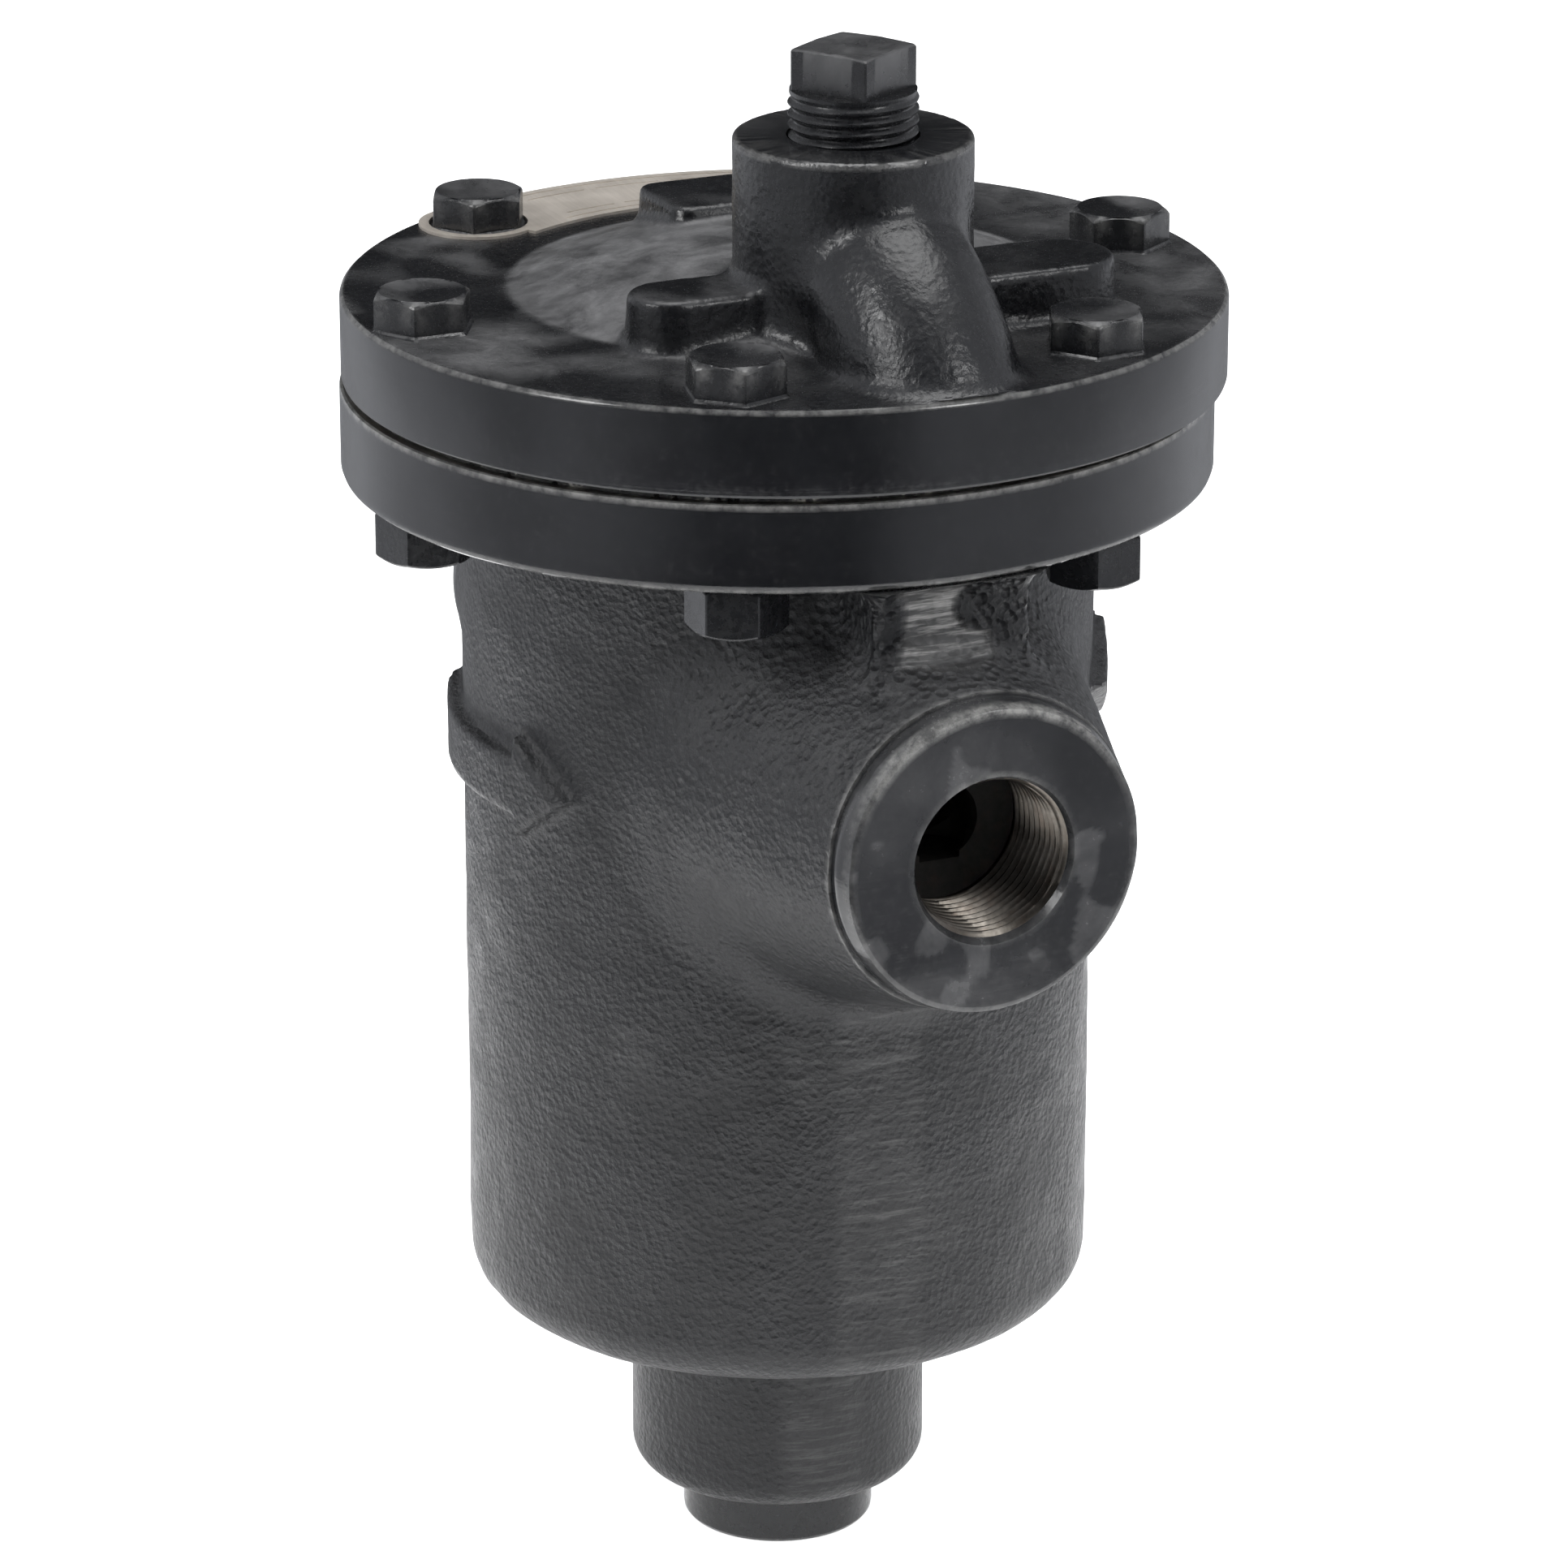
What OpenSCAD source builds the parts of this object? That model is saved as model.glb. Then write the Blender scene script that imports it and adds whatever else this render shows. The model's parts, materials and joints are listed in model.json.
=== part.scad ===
// Inverted-bucket steam trap with side inlet and side outlet.
// Millimetres. +Z is up, the origin is on the body axis at the foot of the drain plug,
// the outlet points along +X and the inlet along -X.

/* [Body casting] */
// Outside radius of the body wall
body_r = 51.5; // [50.5:0.5:52.5]
// Inside radius of the bucket chamber
chamber_r = 45; // [44:0.5:46]
// Height of the body's flat underside
body_bottom_z = 43.8; // [42:0.2:45]
// Thickness of the body floor
floor_t = 8; // [7:0.5:9]
// Radius of the rounded corner round the underside
body_corner_r = 8; // [6:0.5:10]
// Radius of the bottom boss
boss_r = 24.6; // [23:0.2:26]
// Height of the bottom boss's lower face
boss_bottom_z = 9.5; // [8:0.5:11]
// Radius of the rounded edge of the bottom boss
boss_corner_r = 5; // [3:0.5:6]

/* [Flanges] */
// Radius of the body flange
body_flange_r = 70.7; // [70:0.1:72]
// Height of the machined top of the body flange
flange_top_z = 201; // [200:0.5:202]
// Thickness of the body flange
body_flange_t = 14.4; // [13:0.2:15]
// Radius of the cap flange
cap_flange_r = 71.5; // [71:0.1:72]
// Thickness of the cap flange
cap_flange_t = 14; // [13:0.2:15]
// Thickness of the gasket between the flanges
gasket_t = 1.2; // [1:0.1:1.5]
// Outside radius of the gasket
gasket_r = 68.8; // [68:0.1:69.5]
// Radius of the bolt circle
bolt_circle_r = 61.3; // [61:0.1:62]
// Radius of the clearance holes for the bolts
bolt_hole_r = 5.9; // [5.6:0.1:6]
// How far the cap sits off the body axis, along X
cap_shift_x = 0.5; // [0:0.1:0.6]
// How far the cap sits off the body axis, along Y
cap_shift_y = 1; // [0:0.1:1]

/* [Ports] */
// Height of the inlet and outlet port axis
port_z = 145; // [143:0.5:147]
// Distance from the body axis to each port face
port_face_x = 82.5; // [81:0.5:84]
// Radius of each port face
port_r = 25.5; // [24:0.5:26]
// Radius of the tapped bore of each port
port_bore_r = 12.3; // [12.1:0.1:12.5]
// Depth of the tapped bore of each port
port_bore_l = 20; // [18:0.5:22]
// Radius of the cast passages
passage_r = 6.5; // [6:0.1:6.6]
// Distance from the body axis to the vertical passages
passage_x = 57; // [56.8:0.1:57.2]

/* [Cap] */
// Distance from the cap axis to the test plug's boss
seat_x = 26.5; // [26:0.5:27]
// Radius of the test plug's boss
cap_boss_r = 19; // [18.5:0.5:19.5]
// Height of the test plug boss's top face
cap_boss_top_z = 247.3; // [246:0.5:249]
// Radius of the dome where it meets the flange
dome_r = 45; // [44:0.5:46]
// Height of the dome above the cap flange
dome_h = 7.5; // [6:0.5:9]
// Height of the three cast pads above the cap flange
pad_h = 8.4; // [8:0.2:9]

/* [Fasteners and plugs] */
// Size across the flats of the cap bolts' hex heads
bolt_af = 14.3; // [14:0.1:14.6]
// Height of the bolt heads
bolt_head_h = 6; // [5:0.5:7]
// Radius of the bolt shanks
bolt_r = 4.75; // [4.5:0.05:4.8]
// Height of the nuts
nut_h = 8.3; // [8:0.1:9]
// Size across the flats of the test plug's square head
plug_af = 14.3; // [14:0.1:14.6]
// Height of the test plug's square head
plug_head_h = 6.8; // [6:0.2:8]
// Radius of the test plug's thread
plug_thread_r = 10.4; // [10.2:0.1:10.6]
// Length of the test plug's thread that shows above the boss
plug_gap = 7.4; // [5:0.2:9]
// Radius of the drain plug's round head
drain_head_r = 16; // [15:0.5:17]
// Radius of the drain plug's thread
drain_thread_r = 12.2; // [12:0.1:12.5]

/* [Mechanism] */
// Height of the lever's pivot line
pivot_z = 191; // [190.5:0.1:191.5]
// Distance from the pivot line to the bucket's hook
lever_reach = 37.5; // [37:0.1:38]
// Angle that the lever hangs down when the trap is open
open_deg = 14; // [12:1:15]
// Thickness of the lever
lever_t = 2; // [1.8:0.1:2.2]
// Radius of the ball end of the valve
ball_r = 4.5; // [4.4:0.1:4.6]
// Radius of the seat's orifice
orifice_r = 2.4; // [2.2:0.1:2.5]
// Outside radius of the bucket
bucket_r = 36; // [35:0.5:37]
// Height of the bucket
bucket_h = 103; // [100:1:103]
// Thickness of the bucket's wall
bucket_t = 1; // [0.8:0.1:1.2]
// Height of the bucket's open rim when the trap is open
bucket_rim_z = 69; // [68.5:0.5:70]

/* [Hidden] */
$fn = 64;

bolt_angles = [for (i = [0:5]) 30 + 60 * i];
// How far each head and nut happened to be turned when it was tightened
head_turns = [36, 3, 10, 34, 30, 47];
nut_turns = [40, 12, 55, 25, 18, 1];
flange_bottom_z = flange_top_z - body_flange_t;
cap_bottom_z = flange_top_z + gasket_t;
cap_top_z = cap_bottom_z + cap_flange_t;
chamber_floor_z = body_bottom_z + floor_t;
// The inlet runs across the floor in a cast duct, then up a nozzle
duct_z = chamber_floor_z + 4;
duct_r = 10.5;
nozzle_r = 12;
nozzle_top_z = 72;
tube_r = 8;
tube_shoulder_z = 62;
tube_top_z = 108;
// Square ridges that carry the vertical passages
ridge_out_x = 67.4;
ridge_half_w = 13.2;
ridge_corner_r = 1.5;
// Cast hubs that run out to the machined port ends
hub_root_x = 34;
hub_root_r = 39.7;
hub_r = port_r + 0.5;
hub_end_x = port_face_x - 5;
// Place of each side's flow arrow, along X and up Z
near_arrow = [0, 142];
far_arrow = [4, 150];
// The discharge chamber lies over the valve seat
seat_thread_r = 10;
discharge_r = 12;
discharge_z = [212, 228];
// The lever pivots beside the seat so that the open bucket hangs on the body axis
pivot_x = lever_reach * cos(open_deg);
hook_z = pivot_z - lever_reach * sin(open_deg);
seat_arm = pivot_x - seat_x;
valve_gap = 0.15;
seat_lip_z = pivot_z + 0.2 + sqrt(ball_r * ball_r - orifice_r * orifice_r) + valve_gap;
plug_turn = 31;
// Round ends of the pads on the -Y and +Y side of the boss
near_pad = [25.5, 30.5, 7.2];
far_pad = [29.5, 34.5, 9];
riser_depth = 5;
plate_t = 2;
plate_bottom_z = cap_bottom_z - plate_t;
pin_y = 10;
pin_r = 1.5;
screw_x = 24;
screw_y = 19;
screw_r = 2.1;
screw_l = 9;
washer_t = 1;
stud_r = 2;
bucket_top_z = bucket_rim_z + bucket_h;
clip_half_gap = 5.2;
clip_t = 1.5;
rivet_x = 12;
rivet_r = 1.5;
hanger_r = 1.5;
weight_t = 3;
weight_h = 10;

function arc(cx, cz, r, from, to, n) =
    [for (i = [0:n]) let (a = from + (to - from) * i / n) [cx + r * cos(a), cz + r * sin(a)]];

// Turns a shape drawn for a level lever down to its open position
module at_lever() {
    on_cap() translate([pivot_x, 0, pivot_z]) rotate([0, -open_deg, 0]) children();
}

// The cap and all that hangs from it sit slightly off the body axis
module on_cap() {
    translate([cap_shift_x, cap_shift_y, 0]) children();
}

module on_bolt_circle(angles) {
    for (a = angles)
        rotate([0, 0, a]) translate([bolt_circle_r, 0, 0]) children();
}

// Hex prisms on the bolts, each turned to its own angle
module bolt_hexes(turns, h) {
    for (i = [0:len(turns) - 1])
        rotate([0, 0, bolt_angles[i]]) translate([bolt_circle_r, 0, 0])
            rotate([0, 0, turns[i] - bolt_angles[i]]) hex_prism(bolt_af, h);
}

module hex_prism(af, h) {
    cylinder(r = af / 2 / cos(30), h = h, $fn = 6);
}

// ---------- body ----------

module body_outline() {
    polygon(concat(
        [[0, boss_bottom_z]],
        arc(boss_r - boss_corner_r, boss_bottom_z + boss_corner_r, boss_corner_r, -90, 0, 6),
        [[boss_r, body_bottom_z]],
        arc(body_r - body_corner_r, body_bottom_z + body_corner_r, body_corner_r, -90, 0, 8),
        [
            [body_r, flange_bottom_z],
            [body_flange_r, flange_bottom_z],
            [body_flange_r, flange_top_z],
            [0, flange_top_z]
        ]
    ));
}

// Cast hub that tapers out from the body to a smaller machined disc
module port_hub() {
    translate([0, 0, port_z]) rotate([0, 90, 0]) {
        translate([0, 0, hub_root_x])
            cylinder(r1 = hub_root_r, r2 = hub_r, h = hub_end_x - hub_root_x);
        translate([0, 0, chamber_r]) cylinder(r = port_r, h = port_face_x - chamber_r);
    }
}

module passage_ridge(low_z, high_z) {
    corner_x = ridge_out_x - ridge_corner_r;
    corner_y = ridge_half_w - ridge_corner_r;
    root_x = chamber_r + 1;
    translate([0, 0, low_z]) linear_extrude(height = high_z - low_z) polygon(concat(
        [[root_x, -ridge_half_w]],
        arc(corner_x, -corner_y, ridge_corner_r, -90, 0, 5),
        arc(corner_x, corner_y, ridge_corner_r, 0, 90, 5),
        [[root_x, ridge_half_w]]
    ));
}

// Raised arrow on the -Y side that points to the outlet. at gives its centre along X and up Z
module flow_arrow(at) {
    raise = 2.6;
    half_l = 24;
    tail_x = -18;
    tail_h = 7.5;
    shaft_h = 5;
    barb_x = 12.6;
    barb_h = 9;
    intersection() {
        translate([at[0], 0, at[1]]) rotate([90, 0, 0]) linear_extrude(height = body_r + raise)
            polygon([
                [-half_l, tail_h], [tail_x, shaft_h], [barb_x, shaft_h], [barb_x, barb_h],
                [half_l, 0],
                [barb_x, -barb_h], [barb_x, -shaft_h], [tail_x, -shaft_h], [-half_l, -tail_h]
            ]);
        cylinder(r = body_r + raise, h = flange_top_z);
    }
}

module inlet_duct() {
    duct_l = chamber_r + 1;
    foot_half_w = duct_r - 0.5;
    translate([-duct_l, 0, duct_z]) rotate([0, 90, 0]) cylinder(r = duct_r, h = duct_l);
    translate([-duct_l, -foot_half_w, chamber_floor_z - 1])
        cube([duct_l, 2 * foot_half_w, duct_z - chamber_floor_z + 1]);
    translate([0, 0, chamber_floor_z - 1])
        cylinder(r = nozzle_r, h = nozzle_top_z - chamber_floor_z + 1);
}

module body_casting() {
    difference() {
        union() {
            rotate_extrude() body_outline();
            port_hub();
            mirror([1, 0, 0]) port_hub();
            passage_ridge(port_z, flange_bottom_z + 1);
            mirror([1, 0, 0]) passage_ridge(body_bottom_z + 4, port_z);
            flow_arrow(near_arrow);
            mirror([0, 1, 0]) flow_arrow(far_arrow);
        }
        translate([0, 0, chamber_floor_z])
            cylinder(r = chamber_r, h = flange_top_z - chamber_floor_z + 1);
    }
}

module port_bore() {
    translate([passage_x, 0, port_z]) rotate([0, 90, 0])
        cylinder(r = passage_r, h = port_face_x - passage_x);
    translate([port_face_x - port_bore_l, 0, port_z]) rotate([0, 90, 0])
        cylinder(r = port_bore_r, h = port_bore_l + 1);
}

module body() {
    drain_hole_l = 25;
    color("#2b2d30") difference() {
        union() {
            body_casting();
            inlet_duct();
        }
        port_bore();
        mirror([1, 0, 0]) port_bore();
        translate([passage_x, 0, port_z])
            cylinder(r = passage_r, h = flange_top_z - port_z + 1);
        translate([-passage_x, 0, duct_z]) cylinder(r = passage_r, h = port_z - duct_z);
        translate([-passage_x, 0, duct_z]) rotate([0, 90, 0])
            cylinder(r = passage_r, h = passage_x);
        translate([0, 0, boss_bottom_z - 1]) cylinder(r = drain_thread_r, h = drain_hole_l + 1);
        translate([0, 0, boss_bottom_z]) cylinder(r = passage_r, h = nozzle_top_z);
        translate([0, 0, tube_shoulder_z]) cylinder(r = tube_r, h = nozzle_top_z);
        translate([0, 0, flange_bottom_z - 1]) on_bolt_circle(bolt_angles)
            cylinder(r = bolt_hole_r, h = body_flange_t + 2);
    }
}

module cap_gasket() {
    color("#4a4c48") translate([0, 0, flange_top_z]) difference() {
        cylinder(r = gasket_r, h = gasket_t);
        translate([0, 0, -1]) cylinder(r = chamber_r + 0.6, h = gasket_t + 2);
        translate([passage_x, 0, -1]) cylinder(r = passage_r, h = gasket_t + 2);
        translate([0, 0, -1]) on_bolt_circle(bolt_angles)
            cylinder(r = bolt_hole_r, h = gasket_t + 2);
    }
}

// ---------- cap ----------

module cap_dome() {
    sphere_r = (dome_r * dome_r + dome_h * dome_h) / (2 * dome_h);
    intersection() {
        translate([0, 0, cap_top_z + dome_h - sphere_r]) sphere(r = sphere_r, $fn = 160);
        translate([0, 0, cap_top_z - 1]) cylinder(r = dome_r + 5, h = dome_h + 2);
    }
}

// Cast neck that carries the discharge from the boss down to the outlet riser
module cap_neck() {
    neck_r = 14.5;
    neck_fall = 33;
    neck_top_z = cap_top_z + 15;
    intersection() {
        translate([seat_x - 5, 0, neck_top_z]) rotate([0, 90 + neck_fall, 0])
            cylinder(r = neck_r, h = cap_flange_r);
        translate([0, 0, cap_bottom_z + 1]) cylinder(r = cap_flange_r - 0.2, h = 40);
    }
}

// Pad with a round end on the +Y side of the test plug's boss. at gives the end's X, Y and radius
module side_pad(at) {
    root_y = 10;
    pad_bottom_z = cap_bottom_z + 1;
    pad_l = cap_top_z + pad_h - pad_bottom_z;
    translate([at[0] - at[2], root_y, pad_bottom_z]) cube([2 * at[2], at[1] - root_y, pad_l]);
    translate([at[0], at[1], pad_bottom_z]) cylinder(r = at[2], h = pad_l);
}

// Square pad behind the bucket's recess
module rear_pad() {
    pad_x = [-36, -19];
    pad_half_y = 10;
    translate([pad_x[0], -pad_half_y, cap_top_z - 1])
        cube([pad_x[1] - pad_x[0], 2 * pad_half_y, pad_h + 1]);
}

module cap_passages() {
    seat_hole_l = 11;
    translate([seat_x, 0, cap_bottom_z - 1]) cylinder(r = seat_thread_r, h = seat_hole_l + 1);
    translate([seat_x, 0, discharge_z[0]])
        cylinder(r = discharge_r, h = discharge_z[1] - discharge_z[0]);
    translate([seat_x, 0, discharge_z[0]])
        cylinder(r = plug_thread_r + 0.1, h = cap_boss_top_z - discharge_z[0] + 1);
    // The neck's bore starts in the discharge chamber and meets the riser hole
    run = passage_x - seat_x;
    fall = 15;
    start_z = discharge_z[1] - 7;
    translate([seat_x, 0, start_z]) rotate([0, 90 + atan(fall / run), 0])
        cylinder(r = passage_r - 0.5, h = sqrt(run * run + fall * fall));
    translate([passage_x, 0, cap_bottom_z - 1]) cylinder(r = passage_r, h = riser_depth + 1);
}

// Recess over the bucket's clip and the screw holes for the guide plate
module cap_underside_cuts() {
    recess_x = -14;
    recess_r = [26, 20];
    recess_l = 12;
    screw_hole_l = 8;
    translate([recess_x, 0, cap_bottom_z - 1])
        cylinder(r1 = recess_r[0], r2 = recess_r[1], h = recess_l);
    for (side = [-1, 1])
        translate([screw_x, side * screw_y, cap_bottom_z - 1])
            cylinder(r = screw_r, h = screw_hole_l + 1);
}

module cap() {
    color("#2b2d30") on_cap() difference() {
        union() {
            translate([0, 0, cap_bottom_z]) cylinder(r = cap_flange_r, h = cap_flange_t);
            cap_dome();
            translate([seat_x, 0, cap_bottom_z + 1])
                cylinder(r = cap_boss_r, h = cap_boss_top_z - cap_bottom_z - 1);
            cap_neck();
            mirror([0, 1, 0]) side_pad(near_pad);
            side_pad(far_pad);
            rear_pad();
        }
        cap_passages();
        cap_underside_cuts();
        translate([0, 0, cap_bottom_z - 1]) on_bolt_circle(bolt_angles)
            cylinder(r = bolt_hole_r, h = cap_flange_t + 2);
    }
}

module cap_bolts() {
    grip = cap_top_z - flange_bottom_z;
    color("#303236") translate([cap_shift_x / 2, cap_shift_y / 2, 0]) {
        translate([0, 0, cap_top_z]) bolt_hexes(head_turns, bolt_head_h);
        translate([0, 0, flange_bottom_z - nut_h]) on_bolt_circle(bolt_angles)
            cylinder(r = bolt_r - 0.02, h = grip + nut_h + 1);
    }
}

module cap_nuts() {
    color("#303236") translate([cap_shift_x / 2, cap_shift_y / 2, flange_bottom_z - nut_h])
        difference() {
            bolt_hexes(nut_turns, nut_h);
            translate([0, 0, -1]) on_bolt_circle(bolt_angles)
                cylinder(r = bolt_r, h = nut_h + 2);
        }
}

module test_plug() {
    thread_bottom_z = discharge_z[1] + 1;
    thread_top_z = cap_boss_top_z + plug_gap;
    color("#303236") on_cap() translate([seat_x, 0, 0]) {
        translate([0, 0, thread_bottom_z])
            cylinder(r = plug_thread_r, h = thread_top_z - thread_bottom_z);
        translate([0, 0, thread_top_z - 1]) rotate([0, 0, plug_turn])
            translate([-plug_af / 2, -plug_af / 2, 0]) cube([plug_af, plug_af, plug_head_h + 1]);
    }
}

module drain_plug() {
    socket_af = 12.7;
    socket_l = 7;
    thread_l = 17;
    color("#303236") difference() {
        union() {
            cylinder(r = drain_head_r, h = boss_bottom_z);
            translate([0, 0, boss_bottom_z - 1])
                cylinder(r = drain_thread_r - 0.1, h = thread_l + 1);
        }
        translate([0, 0, -1]) hex_prism(socket_af, socket_l + 1);
    }
}

module id_tag() {
    tag_t = 0.5;
    inner_r = 50.5;
    outer_r = 70;
    eyelet_r = 10;
    eyelet_hole_r = 8.4;
    ends = [150, 210];
    color("#a49c90") on_cap() translate([0, 0, cap_top_z]) difference() {
        union() {
            rotate([0, 0, ends[0]]) rotate_extrude(angle = ends[1] - ends[0])
                translate([inner_r, 0]) square([outer_r - inner_r, tag_t]);
            on_bolt_circle(ends) cylinder(r = eyelet_r, h = tag_t);
        }
        // The bolt heads stand inside the eyelets
        translate([-cap_shift_x / 2, -cap_shift_y / 2, -1]) on_bolt_circle(ends)
            cylinder(r = eyelet_hole_r, h = tag_t + 2);
    }
}

// ---------- valve and lever ----------

module valve_seat() {
    hex_af = 19;
    orifice_l = 5;
    thread_l = 10;
    seat_l = cap_bottom_z + thread_l - seat_lip_z;
    color("#b9b6ae") on_cap() translate([seat_x, 0, 0]) difference() {
        union() {
            translate([0, 0, seat_lip_z]) hex_prism(hex_af, cap_bottom_z - seat_lip_z);
            translate([0, 0, cap_bottom_z - 1])
                cylinder(r = seat_thread_r - 0.1, h = thread_l + 1);
        }
        translate([0, 0, seat_lip_z - 1]) cylinder(r = orifice_r, h = seat_l + 2);
        translate([0, 0, seat_lip_z + orifice_l]) cylinder(r = orifice_r * 2, h = seat_l);
    }
}

module valve() {
    color("#c8c8ca") at_lever() translate([-seat_arm, 0, 0.2]) {
        intersection() {
            sphere(r = ball_r);
            translate([0, 0, lever_t / 2 - 0.2]) cylinder(r = ball_r + 1, h = ball_r * 2);
        }
        translate([0, 0, -lever_t - 1]) cylinder(r = stud_r, h = lever_t + 3);
    }
}

module lever() {
    wide = 13.5;
    narrow = 4.5;
    heel_x = 4.5;
    shoulder_x = -14;
    waist_x = -22;
    eye_r = 3.2;
    pin_play = 0.7;
    color("#b4b3ae") at_lever() difference() {
        union() {
            translate([0, 0, -lever_t / 2]) linear_extrude(height = lever_t) polygon([
                [heel_x, -wide], [heel_x, wide], [shoulder_x, wide],
                [waist_x, narrow], [-lever_reach, narrow],
                [-lever_reach, -narrow], [waist_x, -narrow],
                [shoulder_x, -wide]
            ]);
            // Rolled eye for the bucket's hanger pin
            translate([-lever_reach, narrow, 0]) rotate([90, 0, 0])
                cylinder(r = eye_r, h = 2 * narrow);
        }
        for (side = [-1, 1])
            translate([0, side * pin_y, -lever_t])
                cylinder(r = pin_r + pin_play, h = 2 * lever_t);
        translate([-seat_arm, 0, -lever_t]) cylinder(r = stud_r + 0.05, h = 2 * lever_t);
        translate([-lever_reach, narrow + 1, 0]) rotate([90, 0, 0])
            cylinder(r = hanger_r + 0.05, h = 2 * narrow + 2);
    }
}

module valve_retainer() {
    ring_r = 4;
    ring_t = 1;
    color("#b4b3ae") at_lever() translate([-seat_arm, 0, -lever_t / 2 - ring_t]) difference() {
        cylinder(r = ring_r, h = ring_t);
        translate([0, 0, -1]) cylinder(r = stud_r + 0.02, h = ring_t + 2);
    }
}

module guide_pin_plate() {
    plate_x = [16, 43];
    plate_half_y = 24;
    seat_hole_r = 11.8;
    color("#b4b3ae") on_cap() translate([0, 0, plate_bottom_z]) difference() {
        intersection() {
            translate([plate_x[0], -plate_half_y, 0])
                cube([plate_x[1] - plate_x[0], 2 * plate_half_y, plate_t]);
            translate([0, 0, -1]) cylinder(r = chamber_r - 2.5, h = plate_t + 2);
        }
        translate([seat_x, 0, -1]) cylinder(r = seat_hole_r, h = plate_t + 2);
        for (side = [-1, 1])
            translate([screw_x, side * screw_y, -1]) cylinder(r = screw_r + 0.2, h = plate_t + 2);
    }
}

module guide_pins() {
    head_r = 3;
    head_h = 1.5;
    head_z = pivot_z - lever_t / 2 - 1 - head_h;
    color("#c8c8ca") on_cap() for (side = [-1, 1])
        translate([pivot_x, side * pin_y, 0]) {
            translate([0, 0, head_z]) cylinder(r = pin_r, h = plate_bottom_z - head_z);
            translate([0, 0, head_z]) cylinder(r = head_r, h = head_h);
        }
}

module guide_plate_screws() {
    head_af = 7;
    head_h = 2.6;
    color("#c8c8ca") on_cap() for (side = [-1, 1])
        translate([screw_x, side * screw_y, plate_bottom_z - washer_t]) {
            cylinder(r = screw_r - 0.1, h = screw_l);
            translate([0, 0, -head_h]) hex_prism(head_af, head_h);
        }
}

module screw_lockwashers() {
    washer_r = 3.9;
    color("#9a9a98") on_cap() for (side = [-1, 1])
        translate([screw_x, side * screw_y, plate_bottom_z - washer_t])
            difference() {
                cylinder(r = washer_r, h = washer_t);
                translate([0, 0, -1]) cylinder(r = screw_r + 0.1, h = washer_t + 2);
            }
}

// ---------- bucket ----------

// The rivets stand through both the bucket's top and the clip
module rivet_holes() {
    hole_l = 10;
    for (x = [-rivet_x, rivet_x])
        translate([x, 0, bucket_top_z - hole_l / 2]) cylinder(r = rivet_r, h = hole_l);
}

module bucket() {
    vent_r = 1.2;
    vent_x = -22;
    color("#b0aeaa") on_cap() difference() {
        translate([0, 0, bucket_rim_z]) cylinder(r = bucket_r, h = bucket_h);
        translate([0, 0, bucket_rim_z - 1])
            cylinder(r = bucket_r - bucket_t, h = bucket_h + 1 - bucket_t);
        translate([vent_x, 0, bucket_top_z - 5]) cylinder(r = vent_r, h = 10);
        rivet_holes();
    }
}

module bucket_clip() {
    base_l = 32;
    leg_w = 8;
    leg_h = hook_z - bucket_top_z + 3;
    half_w = clip_half_gap + clip_t;
    color("#b4b3ae") on_cap() difference() {
        union() {
            translate([-base_l / 2, -half_w, bucket_top_z]) cube([base_l, 2 * half_w, clip_t]);
            translate([-leg_w / 2, clip_half_gap, bucket_top_z]) cube([leg_w, clip_t, leg_h]);
            translate([-leg_w / 2, -half_w, bucket_top_z]) cube([leg_w, clip_t, leg_h]);
        }
        translate([0, half_w + 1, hook_z]) rotate([90, 0, 0])
            cylinder(r = hanger_r + 0.02, h = 2 * half_w + 2);
        rivet_holes();
    }
}

module clip_rivets() {
    rivet_head_r = 2.8;
    rivet_head_h = 1.2;
    under_z = bucket_top_z - bucket_t - rivet_head_h;
    over_z = bucket_top_z + clip_t;
    color("#c8c8ca") on_cap() for (x = [-rivet_x, rivet_x])
        translate([x, 0, 0]) {
            translate([0, 0, under_z]) cylinder(r = rivet_r - 0.05, h = over_z - under_z + 1);
            translate([0, 0, over_z]) cylinder(r = rivet_head_r, h = rivet_head_h);
            translate([0, 0, under_z]) cylinder(r = rivet_head_r, h = rivet_head_h);
        }
}

module hanger_pin() {
    pin_half_l = 8.2;
    pin_head_r = 2.6;
    pin_head_h = 1.4;
    color("#c8c8ca") on_cap() {
        translate([0, pin_half_l, hook_z]) rotate([90, 0, 0])
            cylinder(r = hanger_r, h = 2 * pin_half_l);
        for (head_y = [pin_half_l, pin_head_h - pin_half_l])
            translate([0, head_y, hook_z]) rotate([90, 0, 0])
                cylinder(r = pin_head_r, h = pin_head_h);
    }
}

module bucket_weight() {
    color("#8d8b86") on_cap() translate([0, 0, bucket_rim_z + 2]) difference() {
        cylinder(r = bucket_r - bucket_t - 0.02, h = weight_h);
        translate([0, 0, -1]) cylinder(r = bucket_r - bucket_t - weight_t, h = weight_h + 2);
    }
}

module inlet_tube() {
    color("#b0aeaa") translate([0, 0, tube_shoulder_z]) difference() {
        cylinder(r = tube_r - 0.02, h = tube_top_z - tube_shoulder_z);
        translate([0, 0, -1]) cylinder(r = passage_r, h = tube_top_z);
    }
}

body();
cap();
cap_gasket();
cap_bolts();
cap_nuts();
test_plug();
drain_plug();
id_tag();
valve_seat();
valve();
lever();
valve_retainer();
guide_pin_plate();
guide_pins();
guide_plate_screws();
screw_lockwashers();
bucket();
bucket_clip();
clip_rivets();
hanger_pin();
bucket_weight();
inlet_tube();
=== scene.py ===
"""Steam trap: the visual model, its materials, the studio and the camera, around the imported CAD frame."""

import json
import math

import bpy
import numpy as np
from mathutils import Matrix, Vector


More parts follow.
